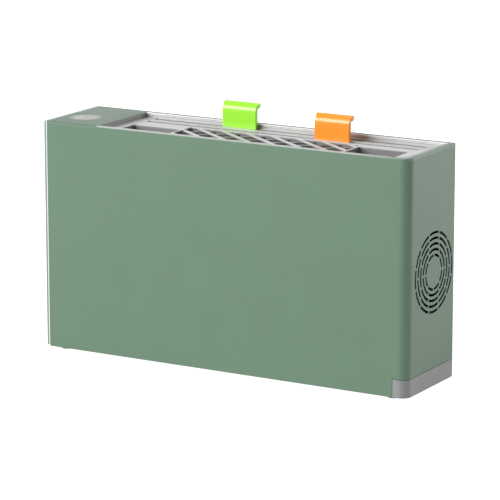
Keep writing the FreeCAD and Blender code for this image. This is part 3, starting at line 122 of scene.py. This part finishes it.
# Material helpers
class Finish:
    """A principled material under construction, with short ways to feed its sockets."""

    def __init__(self, name, roughness, metallic=0.0, ior=1.46):
        self.material = bpy.data.materials.new(name)
        self.material.use_nodes = True
        self.nodes = self.material.node_tree.nodes
        self.links = self.material.node_tree.links
        self.shader = self.nodes["Principled BSDF"]
        self.place = self.nodes.new("ShaderNodeTexCoord").outputs["Object"]
        self.bevel = None
        self.normal = None
        self.set("Roughness", roughness)
        self.set("Metallic", metallic)
        self.set("IOR", ior)

    def set(self, socket, value):
        self.shader.inputs[socket].default_value = value

    def node(self, kind, **inputs):
        node = self.nodes.new(kind)
        for socket, value in inputs.items():
            self.feed(node, socket.replace("_", " "), value)
        return node

    def feed(self, node, socket, value):
        if isinstance(value, bpy.types.NodeSocket):
            self.links.new(value, node.inputs[socket])
        else:
            node.inputs[socket].default_value = value

    def stretched(self, scale):
        """The object's own coordinates, squeezed or stretched along each axis."""
        mapping = self.node("ShaderNodeMapping", Vector=self.place, Scale=scale)
        return mapping.outputs["Vector"]

    def noise(self, scale, detail=3.0, place=None):
        noise = self.node("ShaderNodeTexNoise", Vector=place or self.place, Scale=scale, Detail=detail)
        return noise.outputs["Fac"]

    def cells(self, scale):
        return self.node("ShaderNodeTexVoronoi", Vector=self.place, Scale=scale).outputs["Distance"]

    def spread(self, value, low, high, start=0.3, end=0.7):
        """Map a value from start to end onto low to high, and keep it there beyond them."""
        ramp = self.node("ShaderNodeMapRange", Value=value)
        ramp.inputs["From Min"].default_value = start
        ramp.inputs["From Max"].default_value = end
        ramp.inputs["To Min"].default_value = low
        ramp.inputs["To Max"].default_value = high
        return ramp.outputs["Result"]

    def product(self, first, second):
        node = self.nodes.new("ShaderNodeMath")
        node.operation = "MULTIPLY"
        self.feed(node, 0, first)
        self.feed(node, 1, second)
        return node.outputs["Value"]

    def blend(self, factor, first, second):
        """Mix two colours, each a plain colour or a socket."""
        mix = self.nodes.new("ShaderNodeMix")
        mix.data_type = "RGBA"
        self.feed(mix, "Factor", factor)
        sockets = [socket for socket in mix.inputs if socket.type == "RGBA"]
        for socket, colour in zip(sockets, (first, second)):
            if isinstance(colour, bpy.types.NodeSocket):
                self.links.new(colour, socket)
            else:
                socket.default_value = (*colour, 1.0)
        return next(socket for socket in mix.outputs if socket.type == "RGBA")

    def colour(self, socket):
        self.links.new(socket, self.shader.inputs["Base Color"])

    def along(self, axis):
        return self.node("ShaderNodeSeparateXYZ", Vector=self.place).outputs[axis]

    def paint(self, factor, colour):
        """Lay another colour over the one that the shader has so far."""
        first = self.shader.inputs["Base Color"].links[0].from_socket
        self.colour(self.blend(factor, first, colour))

    def paint_beyond(self, x, colour):
        """Give all that lies past a place along the object's own x another colour."""
        self.paint(self.spread(self.along("X"), 0.0, 1.0, x - PAINT_EDGE, x + PAINT_EDGE), colour)

    def roughness(self, socket):
        self.links.new(socket, self.shader.inputs["Roughness"])

    def round_edges(self, radius):
        """Catch light along edges as a moulded radius does."""
        self.bevel = self.node("ShaderNodeBevel", Radius=radius)
        self.bevel.samples = 4
        self.normal = self.bevel.outputs["Normal"]
        self.links.new(self.normal, self.shader.inputs["Normal"])

    def relief(self, height_socket, depth):
        bump = self.node("ShaderNodeBump", Height=height_socket, Distance=depth, Strength=1.0)
        if self.normal is not None:
            self.links.new(self.normal, bump.inputs["Normal"])
        self.normal = bump.outputs["Normal"]
        self.links.new(self.normal, self.shader.inputs["Normal"])


def shade(colour, factor):
    return tuple(channel * factor for channel in colour)


def moulded(name, colour, roughness, grain=0.012, edge=0.35, mottle=0.05):
    """Injection moulded plastic: fine spark grain, faint flow mottle and uneven sheen."""
    finish = Finish(name, roughness)
    flow = finish.noise(22.0, detail=2.0)
    speck = finish.noise(900.0, detail=1.0)
    darker = shade(colour, 1.0 - mottle)
    lighter = shade(colour, 1.0 + mottle)
    cloudy = finish.blend(finish.spread(flow, 0.0, 1.0), darker, lighter)
    finish.colour(finish.blend(finish.spread(speck, 0.0, 0.35), cloudy, shade(colour, 0.94)))
    smear = finish.noise(9.0, detail=4.0, place=finish.stretched((1.0, 1.0, 2.5)))
    finish.roughness(finish.spread(smear, roughness - 0.04, roughness + 0.06))
    finish.round_edges(edge * MM)
    finish.relief(finish.noise(1600.0, detail=2.0), grain * MM)
    return finish


def in_grille_slots(finish, right):
    """Mask of the painted shade: one on the walls of the grille's slots, below the fan side's face, and
    nought elsewhere.
    """
    fan_low, fan_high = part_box("fan_rotor")
    from_axis = finish.node("ShaderNodeVectorMath", Vector=finish.stretched((0.0, 1.0, 1.0)))
    from_axis.operation = "DISTANCE"
    from_axis.inputs[1].default_value = (0.0, (fan_low.y + fan_high.y) / 2, (fan_low.z + fan_high.z) / 2)
    distance = from_axis.outputs["Value"]
    in_grille = finish.spread(distance, 1.0, 0.0, GRILLE_REACH, GRILLE_REACH + PAINT_EDGE)
    shade_start = right - GRILLE_SHADE_START
    under_face = finish.spread(finish.along("X"), 1.0, 0.0, shade_start - PAINT_EDGE, shade_start)
    return finish.product(in_grille, under_face)


# Finishes, one function for each slot of the record
def green_shell():
    """Green wrap: its top edge is rounder than the edges of its grille; painted highlight lies on its rim
    round the sunk top and on its right side's top edge, painted shade in its grille's slots.
    """
    finish = moulded("green_shell", (0.078, 0.139, 0.090), 0.42, grain=0.010, edge=0.45, mottle=0.02)
    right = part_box("front_shell")[1].x
    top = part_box("front_shell")[1].z
    height = finish.along("Z")
    length = finish.along("X")
    cap_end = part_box("control_cap")[1].x
    # Painted highlight on the rim's top past the cap, darkening to painted shade near the right end
    past_cap = finish.spread(length, 0.0, 1.0, cap_end, cap_end + RIM_HIGHLIGHT_START)
    on_rim = finish.spread(height, 0.0, 1.0, top - FRONT_RIM - PAINT_EDGE, top - FRONT_RIM)
    near_end = finish.spread(length, 0.0, 1.0, right - RIGHT_END_SHADE_LENGTH, right - RIGHT_END_SHADE_FULL)
    rim_highlight_and_shade = finish.blend(near_end, (0.38, 0.41, 0.38), (0.20, 0.25, 0.22))
    finish.paint(finish.product(past_cap, on_rim), rim_highlight_and_shade)
    # Painted highlight along the top edge of the right side
    side_highlight = finish.spread(height, 0.0, 1.0, top - SIDE_RIM, top - FRONT_RIM)
    at_side = finish.spread(length, 0.0, 1.0, right - SIDE_RIM_START, right - SIDE_RIM_FULL)
    finish.paint(finish.product(at_side, side_highlight), (0.17, 0.21, 0.185))
    # Painted shade, near black, on the walls of the grille's slots
    finish.paint(in_grille_slots(finish, right), (0.016, 0.030, 0.022))
    edge_start = top - TOP_EDGE_START
    radius = finish.spread(height, GRILLE_EDGE_RADIUS, TOP_EDGE_RADIUS, edge_start, top - TOP_EDGE_FULL)
    finish.feed(finish.bevel, "Radius", radius)
    return finish.material


def green_cap():
    """Light green; the step wall down to the sunk top is painted grey, a painted shade that stands in for the
    white trim in shadow.
    """
    finish = moulded("green_cap", (0.100, 0.162, 0.114), 0.42, grain=0.010, edge=0.35, mottle=0.02)
    # Painted shade: the step wall in grey
    finish.paint_beyond(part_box("control_cap")[1].x - STEP_WALL_DEPTH, (0.30, 0.31, 0.30))
    return finish.material


def grey_plastic():
    finish = moulded("grey_plastic", (0.182, 0.182, 0.180), 0.45, grain=0.012, edge=0.4)
    return finish.material


def light_grey_plastic():
    """Grey end plate with a painted highlight along the edge where it meets the green wrap."""
    finish = moulded("light_grey_plastic", (0.150, 0.172, 0.162), 0.42, grain=0.010, edge=0.5)
    # Painted highlight on the strip beside the green wrap
    finish.paint_beyond(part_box("front_shell")[0].x - END_EDGE_WIDTH, (0.56, 0.64, 0.59))
    return finish.material


def white_plastic():
    """White insert: painted shade darkens the walls below its top face and the lower lattice bars, most of
    all inside the two slots.
    """
    finish = moulded("white_plastic", (0.50, 0.50, 0.495), 0.34, grain=0.006, edge=0.3, mottle=0.02)
    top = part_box("lattice_upper_bars")[1].z
    # Painted shade on all that lies below the top face
    below_top = finish.spread(finish.along("Z"), 1.0, 0.0, top - WALL_SHADE_DEPTH, top - WALL_SHADE_START)
    finish.paint(below_top, (0.22, 0.216, 0.22))
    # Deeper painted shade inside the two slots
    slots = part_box("tool_rack")[1].y - SLOTS_FROM_BACK
    among_slots = finish.spread(finish.along("Y"), 0.0, 1.0, slots, slots + PAINT_EDGE)
    finish.paint(finish.product(below_top, among_slots), (0.10, 0.105, 0.10))
    finish.set("Subsurface Weight", 0.05)
    finish.set("Subsurface Radius", (0.004, 0.004, 0.004))
    return finish.material


def white_trim():
    """White frame of the sunk top, with painted shade on its front lip and a painted green-grey shade at its
    right end.
    """
    finish = moulded("white_trim", (0.80, 0.81, 0.80), 0.32, grain=0.005, edge=0.3, mottle=0.02)
    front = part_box("top_frame")[0].y
    right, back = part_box("top_frame")[1].xy
    depth = finish.along("Y")
    # Painted shade on the front lip; the back wall keeps the lit white
    on_lip = finish.spread(depth, 1.0, 0.0, front + FRONT_LIP_WIDTH, front + FRONT_LIP_WIDTH + PAINT_EDGE)
    finish.paint(on_lip, (0.48, 0.495, 0.475))
    # Painted green-grey shade near the right end, short of the back wall
    near_end = finish.spread(finish.along("X"), 0.0, 1.0, right - RIGHT_END_SHADE_LENGTH, right - RIGHT_END_SHADE_FULL)
    before_back = finish.spread(depth, 1.0, 0.0, back - BACK_WALL_WIDTH - PAINT_EDGE, back - BACK_WALL_WIDTH)
    finish.paint(finish.product(near_end, before_back), (0.30, 0.345, 0.315))
    return finish.material


def board_plastic():
    """Cutting boards: white plastic with a coarser pressed grain and fine knife marks."""
    finish = moulded("board_plastic", (0.39, 0.395, 0.39), 0.44, grain=0.02, edge=0.5)
    marks = finish.noise(60.0, detail=6.0, place=finish.stretched((1.0, 1.0, 26.0)))
    finish.relief(finish.spread(marks, 0.0, 1.0, 0.62, 0.70), 0.03 * MM)
    return finish.material


def glossy_handle(name, colour, deep):
    finish = Finish(name, 0.26)
    flow = finish.noise(30.0, detail=2.0)
    finish.colour(finish.blend(finish.spread(flow, 0.0, 1.0), colour, deep))
    finish.roughness(finish.spread(finish.noise(14.0, detail=4.0), 0.22, 0.32))
    finish.round_edges(0.3 * MM)
    finish.relief(finish.noise(1200.0, detail=1.0), 0.004 * MM)
    finish.set("Coat Weight", 0.5)
    finish.set("Coat Roughness", 0.15)
    return finish.material


def lime_plastic():
    return glossy_handle("lime_plastic", (0.300, 0.73, 0.032), (0.280, 0.70, 0.029))


def orange_plastic():
    return glossy_handle("orange_plastic", (0.90, 0.285, 0.020), (0.86, 0.265, 0.018))


def black_plastic():
    finish = moulded("black_plastic", (0.017, 0.018, 0.018), 0.42, grain=0.015, edge=0.25)
    return finish.material


def button_plastic():
    """Satin painted disc, turned on a lathe, with fine flecks."""
    finish = Finish("button_plastic", 0.34, metallic=0.25)
    fleck = finish.noise(1400.0, detail=1.0)
    finish.colour(finish.blend(finish.spread(fleck, 0.0, 1.0), (0.30, 0.32, 0.305), (0.35, 0.37, 0.355)))
    finish.roughness(finish.spread(finish.noise(40.0, detail=3.0), 0.30, 0.40))
    finish.round_edges(0.25 * MM)
    finish.relief(finish.noise(1800.0, detail=2.0), 0.006 * MM)
    return finish.material


def ring_diffuser():
    """Milky ring that spreads the light of the lamps under it."""
    finish = Finish("ring_diffuser", 0.32)
    cloud = finish.noise(120.0, detail=2.0)
    finish.colour(finish.blend(finish.spread(cloud, 0.0, 1.0), (0.15, 0.20, 0.165), (0.17, 0.22, 0.185)))
    finish.roughness(finish.spread(finish.noise(60.0), 0.26, 0.38))
    finish.set("Subsurface Weight", 0.3)
    finish.set("Subsurface Radius", (0.003, 0.003, 0.003))
    finish.round_edges(0.3 * MM)
    finish.relief(finish.noise(1500.0, detail=1.0), 0.004 * MM)
    return finish.material


def lens():
    finish = Finish("lens", 0.12, ior=1.49)
    depth = finish.noise(900.0, detail=2.0)
    finish.colour(finish.blend(finish.spread(depth, 0.0, 1.0), (0.07, 0.075, 0.075), (0.11, 0.12, 0.115)))
    finish.roughness(finish.spread(finish.noise(300.0), 0.08, 0.18))
    finish.set("Transmission Weight", 0.25)
    finish.round_edges(0.3 * MM)
    return finish.material


def rubber():
    finish = Finish("rubber", 0.72)
    dust = finish.noise(90.0, detail=5.0)
    finish.colour(finish.blend(finish.spread(dust, 0.0, 1.0), (0.028, 0.029, 0.030), (0.052, 0.053, 0.053)))
    finish.roughness(finish.spread(finish.noise(200.0), 0.64, 0.80))
    finish.round_edges(0.4 * MM)
    finish.relief(finish.noise(1100.0, detail=3.0), 0.02 * MM)
    return finish.material


def foam():
    """Open cell foam: dark pores between pale walls."""
    finish = Finish("foam", 0.92)
    pores = finish.cells(900.0)
    wall = finish.spread(pores, 0.0, 1.0, 0.1, 0.6)
    finish.colour(finish.blend(wall, (0.012, 0.012, 0.013), (0.045, 0.046, 0.048)))
    finish.roughness(finish.spread(finish.noise(400.0), 0.85, 0.98))
    finish.relief(pores, 0.25 * MM)
    return finish.material


def steel():
    finish = Finish("steel", 0.30, metallic=1.0)
    smoke = finish.noise(160.0, detail=3.0)
    finish.colour(finish.blend(finish.spread(smoke, 0.0, 1.0), (0.46, 0.47, 0.48), (0.60, 0.60, 0.60)))
    finish.roughness(finish.spread(finish.noise(420.0, place=finish.stretched((1.0, 1.0, 6.0))), 0.22, 0.42))
    finish.round_edges(0.15 * MM)
    finish.relief(finish.noise(2400.0, detail=1.0), 0.004 * MM)
    return finish.material


def lamp_metal():
    finish = Finish("lamp_metal", 0.35, metallic=1.0)
    drawn = finish.noise(300.0, detail=3.0, place=finish.stretched((0.2, 1.0, 1.0)))
    finish.colour(finish.blend(finish.spread(drawn, 0.0, 1.0), (0.55, 0.56, 0.57), (0.72, 0.72, 0.72)))
    finish.roughness(finish.spread(drawn, 0.28, 0.44))
    finish.round_edges(0.2 * MM)
    finish.relief(drawn, 0.006 * MM)
    return finish.material


def lamp_glass():
    finish = Finish("lamp_glass", 0.05)
    wisp = finish.noise(35.0, detail=3.0)
    finish.colour(finish.blend(finish.spread(wisp, 0.0, 1.0), (0.80, 0.82, 0.92), (0.92, 0.93, 0.97)))
    finish.roughness(finish.spread(finish.noise(80.0), 0.03, 0.12))
    finish.set("Transmission Weight", 0.85)
    finish.relief(finish.noise(45.0), 0.02 * MM)
    return finish.material


def copper_winding():
    """Enamelled wire wound in close turns."""
    finish = Finish("copper_winding", 0.32, metallic=0.9)
    turns = finish.node("ShaderNodeTexWave", Vector=finish.place, Scale=900.0, Distortion=0.6)
    finish.colour(finish.blend(turns.outputs["Fac"], (0.30, 0.095, 0.030), (0.62, 0.27, 0.12)))
    finish.roughness(finish.spread(finish.noise(500.0), 0.26, 0.40))
    finish.relief(turns.outputs["Fac"], 0.08 * MM)
    return finish.material


def circuit_board():
    """Solder mask over copper tracks that run square to each other."""
    finish = Finish("circuit_board", 0.36)
    tracks = finish.node("ShaderNodeTexBrick", Vector=finish.place, Scale=130.0)
    tracks.inputs["Mortar Size"].default_value = 0.035
    mask = finish.blend(tracks.outputs["Fac"], (0.010, 0.085, 0.038), (0.022, 0.135, 0.062))
    finish.colour(finish.blend(finish.spread(finish.noise(60.0), 0.0, 0.4), mask, (0.008, 0.070, 0.030)))
    finish.roughness(finish.spread(finish.noise(150.0), 0.28, 0.44))
    finish.round_edges(0.15 * MM)
    finish.relief(tracks.outputs["Fac"], 0.035 * MM)
    return finish.material


def capacitor_sleeve():
    finish = Finish("capacitor_sleeve", 0.30)
    shrink = finish.noise(140.0, detail=3.0, place=finish.stretched((1.0, 0.25, 1.0)))
    finish.colour(finish.blend(finish.spread(shrink, 0.0, 1.0), (0.014, 0.016, 0.030), (0.026, 0.030, 0.052)))
    finish.roughness(finish.spread(shrink, 0.24, 0.38))
    finish.round_edges(0.3 * MM)
    finish.relief(shrink, 0.03 * MM)
    return finish.material


def ferrite():
    finish = Finish("ferrite", 0.62)
    grit = finish.noise(1500.0, detail=4.0)
    finish.colour(finish.blend(finish.spread(grit, 0.0, 1.0), (0.020, 0.020, 0.021), (0.060, 0.058, 0.056)))
    finish.roughness(finish.spread(finish.noise(200.0), 0.52, 0.74))
    finish.round_edges(0.3 * MM)
    finish.relief(grit, 0.03 * MM)
    return finish.material


def connector_plastic():
    finish = moulded("connector_plastic", (0.66, 0.63, 0.54), 0.40, grain=0.008, edge=0.2)
    return finish.material


def led_body():
    finish = moulded("led_body", (0.72, 0.70, 0.55), 0.28, grain=0.004, edge=0.2)
    return finish.material


FINISHES = {maker.__name__: maker for maker in (
    green_shell, green_cap, grey_plastic, light_grey_plastic, white_plastic, white_trim, board_plastic,
    lime_plastic, orange_plastic, black_plastic, button_plastic, ring_diffuser, lens, rubber, foam,
    steel, lamp_metal, lamp_glass, copper_winding, circuit_board, capacitor_sleeve, ferrite,
    connector_plastic, led_body)}


def dress_nodes():
    """Give every CAD node the finish of the slot that its packed material names."""
    made = {}
    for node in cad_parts.values():
        for material_slot in node.material_slots:
            name = material_slot.material.name.split(".")[0]
            if name in FINISHES and name not in made:
                made[name] = FINISHES[name]()
            material_slot.material = made[name]
    return made


def stand_in(data, node, body, slot):
    """Put a modelled mesh in the place of a CAD node that has the same material."""
    data.materials.append(finishes[slot])
    piece = bpy.data.objects.new(data.name, data)
    bpy.context.scene.collection.objects.link(piece)
    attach(piece, body)
    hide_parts(node)


# Screws with a cross recess
def screw_mesh(mesh, seat, way, length):
    """Add one screw: its head above the seat, its shank along the way it points."""
    place = Matrix.Translation(seat) @ way.to_track_quat("-Z", "Y").to_matrix().to_4x4()
    top = SCREW_HEAD_HEIGHT

    def ring(radius, z):
        angles = [2 * math.pi * k / SCREW_SIDES for k in range(SCREW_SIDES)]
        return [mesh.verts.new((radius * math.cos(angle), radius * math.sin(angle), z)) for angle in angles]

    def cross(scale, z):
        half = CROSS_HALF_WIDTH
        quarter = [(CROSS_REACH, -half), (CROSS_REACH, half), (half, half)]
        points = []
        for k in range(4):
            turn = Matrix.Rotation(k * math.pi / 2, 2)
            points += [turn @ Vector(point) * scale for point in quarter]
        return [mesh.verts.new((point.x, point.y, z)) for point in points]

    def wall(lower, upper):
        count = len(lower)
        for k in range(count):
            mesh.faces.new((lower[k], lower[(k + 1) % count], upper[(k + 1) % count], upper[k]))

    def loop_edges(verts):
        return [mesh.edges.get(pair) for pair in zip(verts, verts[1:] + verts[:1])]

    rings = [ring(SCREW_SHANK_RADIUS * SCREW_TIP_SHARE, -length),
             ring(SCREW_SHANK_RADIUS, -length + SCREW_SHANK_RADIUS),
             ring(SCREW_SHANK_RADIUS, 0),
             ring(SCREW_HEAD_RADIUS, 0),
             ring(SCREW_HEAD_RADIUS, top - SCREW_HEAD_CHAMFER),
             ring(SCREW_HEAD_RADIUS - SCREW_HEAD_CHAMFER, top)]
    for lower, upper in zip(rings, rings[1:]):
        wall(lower, upper)
    mesh.faces.new(list(reversed(rings[0])))
    cross_rim = cross(1.0, top)
    cross_floor = cross(CROSS_FLOOR_SHARE, top - CROSS_DEPTH)
    wall(cross_rim, cross_floor)
    mesh.faces.new(cross_floor)
    edges = loop_edges(rings[-1]) + loop_edges(cross_rim)
    bmesh.ops.triangle_fill(mesh, edges=edges, use_beauty=True)
    added = rings + [cross_rim, cross_floor]
    bmesh.ops.transform(mesh, matrix=place, verts=[vert for group in added for vert in group])


def screw_group(name, node, places):
    mesh = bmesh.new()
    for seat, way, length in places:
        screw_mesh(mesh, seat, way, length)
    bmesh.ops.recalc_face_normals(mesh, faces=mesh.faces)
    data = bpy.data.meshes.new(name)
    mesh.to_mesh(data)
    mesh.free()
    stand_in(data, node, "housing", "steel")


def rear_screws():
    low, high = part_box("rear_screws")
    length = high.y - low.y - SCREW_HEAD_HEIGHT
    places = [(Vector((x, high.y - SCREW_HEAD_HEIGHT, z)), Vector((0, -1, 0)), length)
              for x in (low.x + SCREW_HEAD_RADIUS, high.x - SCREW_HEAD_RADIUS)
              for z in (low.z + SCREW_HEAD_SIDE, high.z - SCREW_HEAD_SIDE)]
    screw_group("rear_cross_screws", "rear_screws", places)


def base_screws():
    low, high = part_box("base_screws")
    length = high.z - low.z - SCREW_HEAD_HEIGHT
    places = [(Vector((x, y, low.z + SCREW_HEAD_HEIGHT)), Vector((0, 0, 1)), length)
              for x in (low.x + SCREW_HEAD_RADIUS, high.x - SCREW_HEAD_RADIUS)
              for y in (low.y + SCREW_HEAD_SIDE, high.y - SCREW_HEAD_SIDE)]
    screw_group("base_cross_screws", "base_screws", places)


# Rounded pieces with exact normals
def rounded_piece(node, body, slot, parts):
    """One mesh from parts of verts, normals and faces; only side faces (of four corners) are smooth."""
    verts = []
    normals = []
    faces = []
    for part_verts, part_normals, part_faces in parts:
        faces += [tuple(index + len(verts) for index in face) for face in part_faces]
        verts += part_verts
        normals += part_normals
    data = bpy.data.meshes.new(node + "_rounded")
    data.from_pydata(verts, [], faces)
    data.polygons.foreach_set("use_smooth", [len(face) == 4 for face in faces])
    data.normals_split_custom_set_from_vertices(normals)
    stand_in(data, node, body, slot)


def loft_faces(rows, ring):
    """Faces between rings of equal count, and one over each end."""
    faces = []
    for row in range(rows - 1):
        for column in range(ring):
            after = (column + 1) % ring
            faces.append((row * ring + column, row * ring + after,
                          (row + 1) * ring + after, (row + 1) * ring + column))
    faces.append(tuple(reversed(range(ring))))
    faces.append(tuple(range((rows - 1) * ring, rows * ring)))
    return faces


def turned(outline, foot, axis):
    """A closed shape turned about an axis, from stops of radius, height and tilt of the normal."""
    across = axis.orthogonal().normalized()
    beside = axis.cross(across)
    verts = []
    normals = []
    for radius, height, tilt in outline:
        for k in range(TURNED_SIDES):
            angle = 2 * math.pi * k / TURNED_SIDES
            ray = across * math.cos(angle) + beside * math.sin(angle)
            verts.append(tuple(foot + axis * height + ray * radius))
            normals.append(tuple(ray * math.cos(tilt) + axis * math.sin(tilt)))
    return verts, normals, loft_faces(len(outline), TURNED_SIDES)


def rim(radius, height, edge, upward):
    """Stops of a rounded rim, from the flat end to the outer wall."""
    stops = []
    for step in range(RIM_STEPS + 1):
        angle = math.pi / 2 * step / RIM_STEPS
        stops.append((radius - edge * (1 - math.sin(angle)), height - upward * edge * (1 - math.cos(angle)),
                      upward * (math.pi / 2 - angle)))
    return stops


# Tab handles of the boards
def handle_stations(low, high):
    """Stops along the middle of the tab from its root to its lip: place, way and half thickness."""
    half = HANDLE_THICKNESS / 2
    y = low.y + half
    rise = HANDLE_BEND_RADIUS * math.sin(HANDLE_BEND) + HANDLE_LIP * math.cos(HANDLE_BEND) + half
    bend_z = high.z - rise
    stations = [(Vector((0, y, low.z)), Vector((0, 0, 1)))]
    for step in range(BEND_STEPS + 1):
        angle = HANDLE_BEND * step / BEND_STEPS
        place = Vector((0, y + HANDLE_BEND_RADIUS * (1 - math.cos(angle)),
                        bend_z + HANDLE_BEND_RADIUS * math.sin(angle)))
        stations.append((place, Vector((0, math.sin(angle), math.cos(angle)))))
    bend_end, way = stations[-1]
    stations.append((bend_end + way * HANDLE_LIP, way))
    return stations


def handle(node, body, slot):
    """A bent tab with rounded edges and a thicker round bead along its top."""
    low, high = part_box(node)
    middle = Vector(((low.x + high.x) / 2, 0, 0))
    half_width = (high.x - low.x) / 2 + HANDLE_SIDE_BULGE - HANDLE_EDGE
    half = HANDLE_THICKNESS / 2 - HANDLE_EDGE
    stations = handle_stations(low, high)
    across = Vector((1, 0, 0))
    verts = []
    normals = []
    for place, way in stations:
        outward = way.cross(across)
        for quarter in range(4):
            side_x = 1 if quarter in (0, 3) else -1
            side_n = 1 if quarter in (0, 1) else -1
            core = middle + place + across * side_x * half_width + outward * side_n * half
            for step in range(CORNER_STEPS):
                angle = math.pi / 2 * (quarter + step / (CORNER_STEPS - 1))
                ray = across * math.cos(angle) + outward * math.sin(angle)
                verts.append(tuple(core + ray * HANDLE_EDGE))
                normals.append(tuple(ray))
    sheet = verts, normals, loft_faces(len(stations), 4 * CORNER_STEPS)
    left_end = Vector((low.x - BEAD_OVERHANG, stations[-1][0].y, high.z - BEAD_RADIUS))
    length = high.x - low.x + 2 * BEAD_OVERHANG
    outline = rim(BEAD_RADIUS, 0, BEAD_EDGE, -1) + list(reversed(rim(BEAD_RADIUS, length, BEAD_EDGE, 1)))
    rounded_piece(node, body, slot, [sheet, turned(outline, left_end, across)])


def rubber_feet():
    low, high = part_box("rubber_feet")
    outline = rim(FOOT_RADIUS, 0, FOOT_EDGE, -1) + [(FOOT_RADIUS, high.z - low.z, 0)]
    places = [Vector((x, y, low.z)) for x in (low.x + FOOT_RADIUS, high.x - FOOT_RADIUS)
              for y in (low.y + FOOT_RADIUS, high.y - FOOT_RADIUS)]
    feet = [turned(outline, place, Vector((0, 0, 1))) for place in places]
    rounded_piece("rubber_feet", "housing", "rubber", feet)


def button_lens():
    low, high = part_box("button_lens")
    radius = (high.x - low.x) / 2
    outline = [(radius, 0, 0)] + list(reversed(rim(radius, high.z - low.z, LENS_EDGE, 1)))
    foot = Vector(((low.x + high.x) / 2, (low.y + high.y) / 2, low.z))
    rounded_piece("button_lens", "button", "lens", [turned(outline, foot, Vector((0, 0, 1)))])


# Studio
def direction(azimuth, elevation):
    """Unit vector towards a place seen at that azimuth from the front and that elevation."""
    turn = math.radians(azimuth)
    rise = math.radians(elevation)
    return Vector((math.sin(turn) * math.cos(rise), -math.cos(turn) * math.cos(rise), math.sin(rise)))


def floor():
    material = bpy.data.materials.new("studio_floor")
    material.use_nodes = True
    shader = material.node_tree.nodes["Principled BSDF"]
    shader.inputs["Base Color"].default_value = (FLOOR_ALBEDO, FLOOR_ALBEDO, FLOOR_ALBEDO, 1.0)
    shader.inputs["Roughness"].default_value = 0.9
    shader.inputs["Specular IOR Level"].default_value = 0.0
    shader.inputs["Emission Color"].default_value = (1.0, 1.0, 1.0, 1.0)
    shader.inputs["Emission Strength"].default_value = FLOOR_GLOW
    mesh = bpy.data.meshes.new("studio_floor")
    corners = [(-FLOOR_HALF, -FLOOR_HALF, 0), (FLOOR_HALF, -FLOOR_HALF, 0),
               (FLOOR_HALF, FLOOR_HALF, 0), (-FLOOR_HALF, FLOOR_HALF, 0)]
    mesh.from_pydata(corners, [], [(0, 1, 2, 3)])
    mesh.materials.append(material)
    plane = bpy.data.objects.new("studio_floor", mesh)
    bpy.context.scene.collection.objects.link(plane)


def softbox(name, azimuth, elevation, distance, width, height, power):
    """A rectangular lamp that faces the object from that way and that far off."""
    light = bpy.data.lights.new(name, "AREA")
    light.shape = "RECTANGLE"
    light.size = width
    light.size_y = height
    light.energy = power
    lamp = bpy.data.objects.new(name, light)
    bpy.context.scene.collection.objects.link(lamp)
    aim = Vector(VIEW_TARGET)
    lamp.location = aim + direction(azimuth, elevation) * distance
    lamp.rotation_euler = (aim - lamp.location).to_track_quat("-Z", "Y").to_euler()


def sky():
    world = bpy.data.worlds.new("studio_sky")
    world.use_nodes = True
    background = world.node_tree.nodes["Background"]
    background.inputs["Color"].default_value = (1.0, 1.0, 1.0, 1.0)
    background.inputs["Strength"].default_value = SKY_STRENGTH
    bpy.context.scene.world = world


def camera():
    data = bpy.data.cameras.new("photo_view")
    data.lens = VIEW_LENS
    data.sensor_width = VIEW_SENSOR
    data.clip_end = VIEW_REACH
    eye = bpy.data.objects.new("photo_view", data)
    bpy.context.scene.collection.objects.link(eye)
    aim = Vector(VIEW_TARGET)
    eye.location = aim + direction(VIEW_AZIMUTH, VIEW_ELEVATION) * VIEW_DISTANCE
    eye.rotation_euler = (aim - eye.location).to_track_quat("-Z", "Y").to_euler()
    bpy.context.scene.camera = eye


def studio():
    bpy.context.scene.view_settings.view_transform = "Standard"
    camera()
    floor()
    sky()
    softbox("key", -38, 28, 4.6, 3.4, 2.8, 277)
    softbox("top", 0, 72, 2.6, 2.4, 0.5, 11)
    softbox("left", -64, 20, 5.5, 0.8, 0.8, 85)
    softbox("side", 148, 8, 3.0, 2.2, 3.0, 79)
    softbox("back", -160, 16, 3.0, 3.2, 1.6, 17)


finishes = dress_nodes()
rear_screws()
base_screws()
handle("rear_board_handle", "rear_board_lift", "lime_plastic")
handle("front_board_handle", "front_board_lift", "orange_plastic")
rubber_feet()
button_lens()
studio()
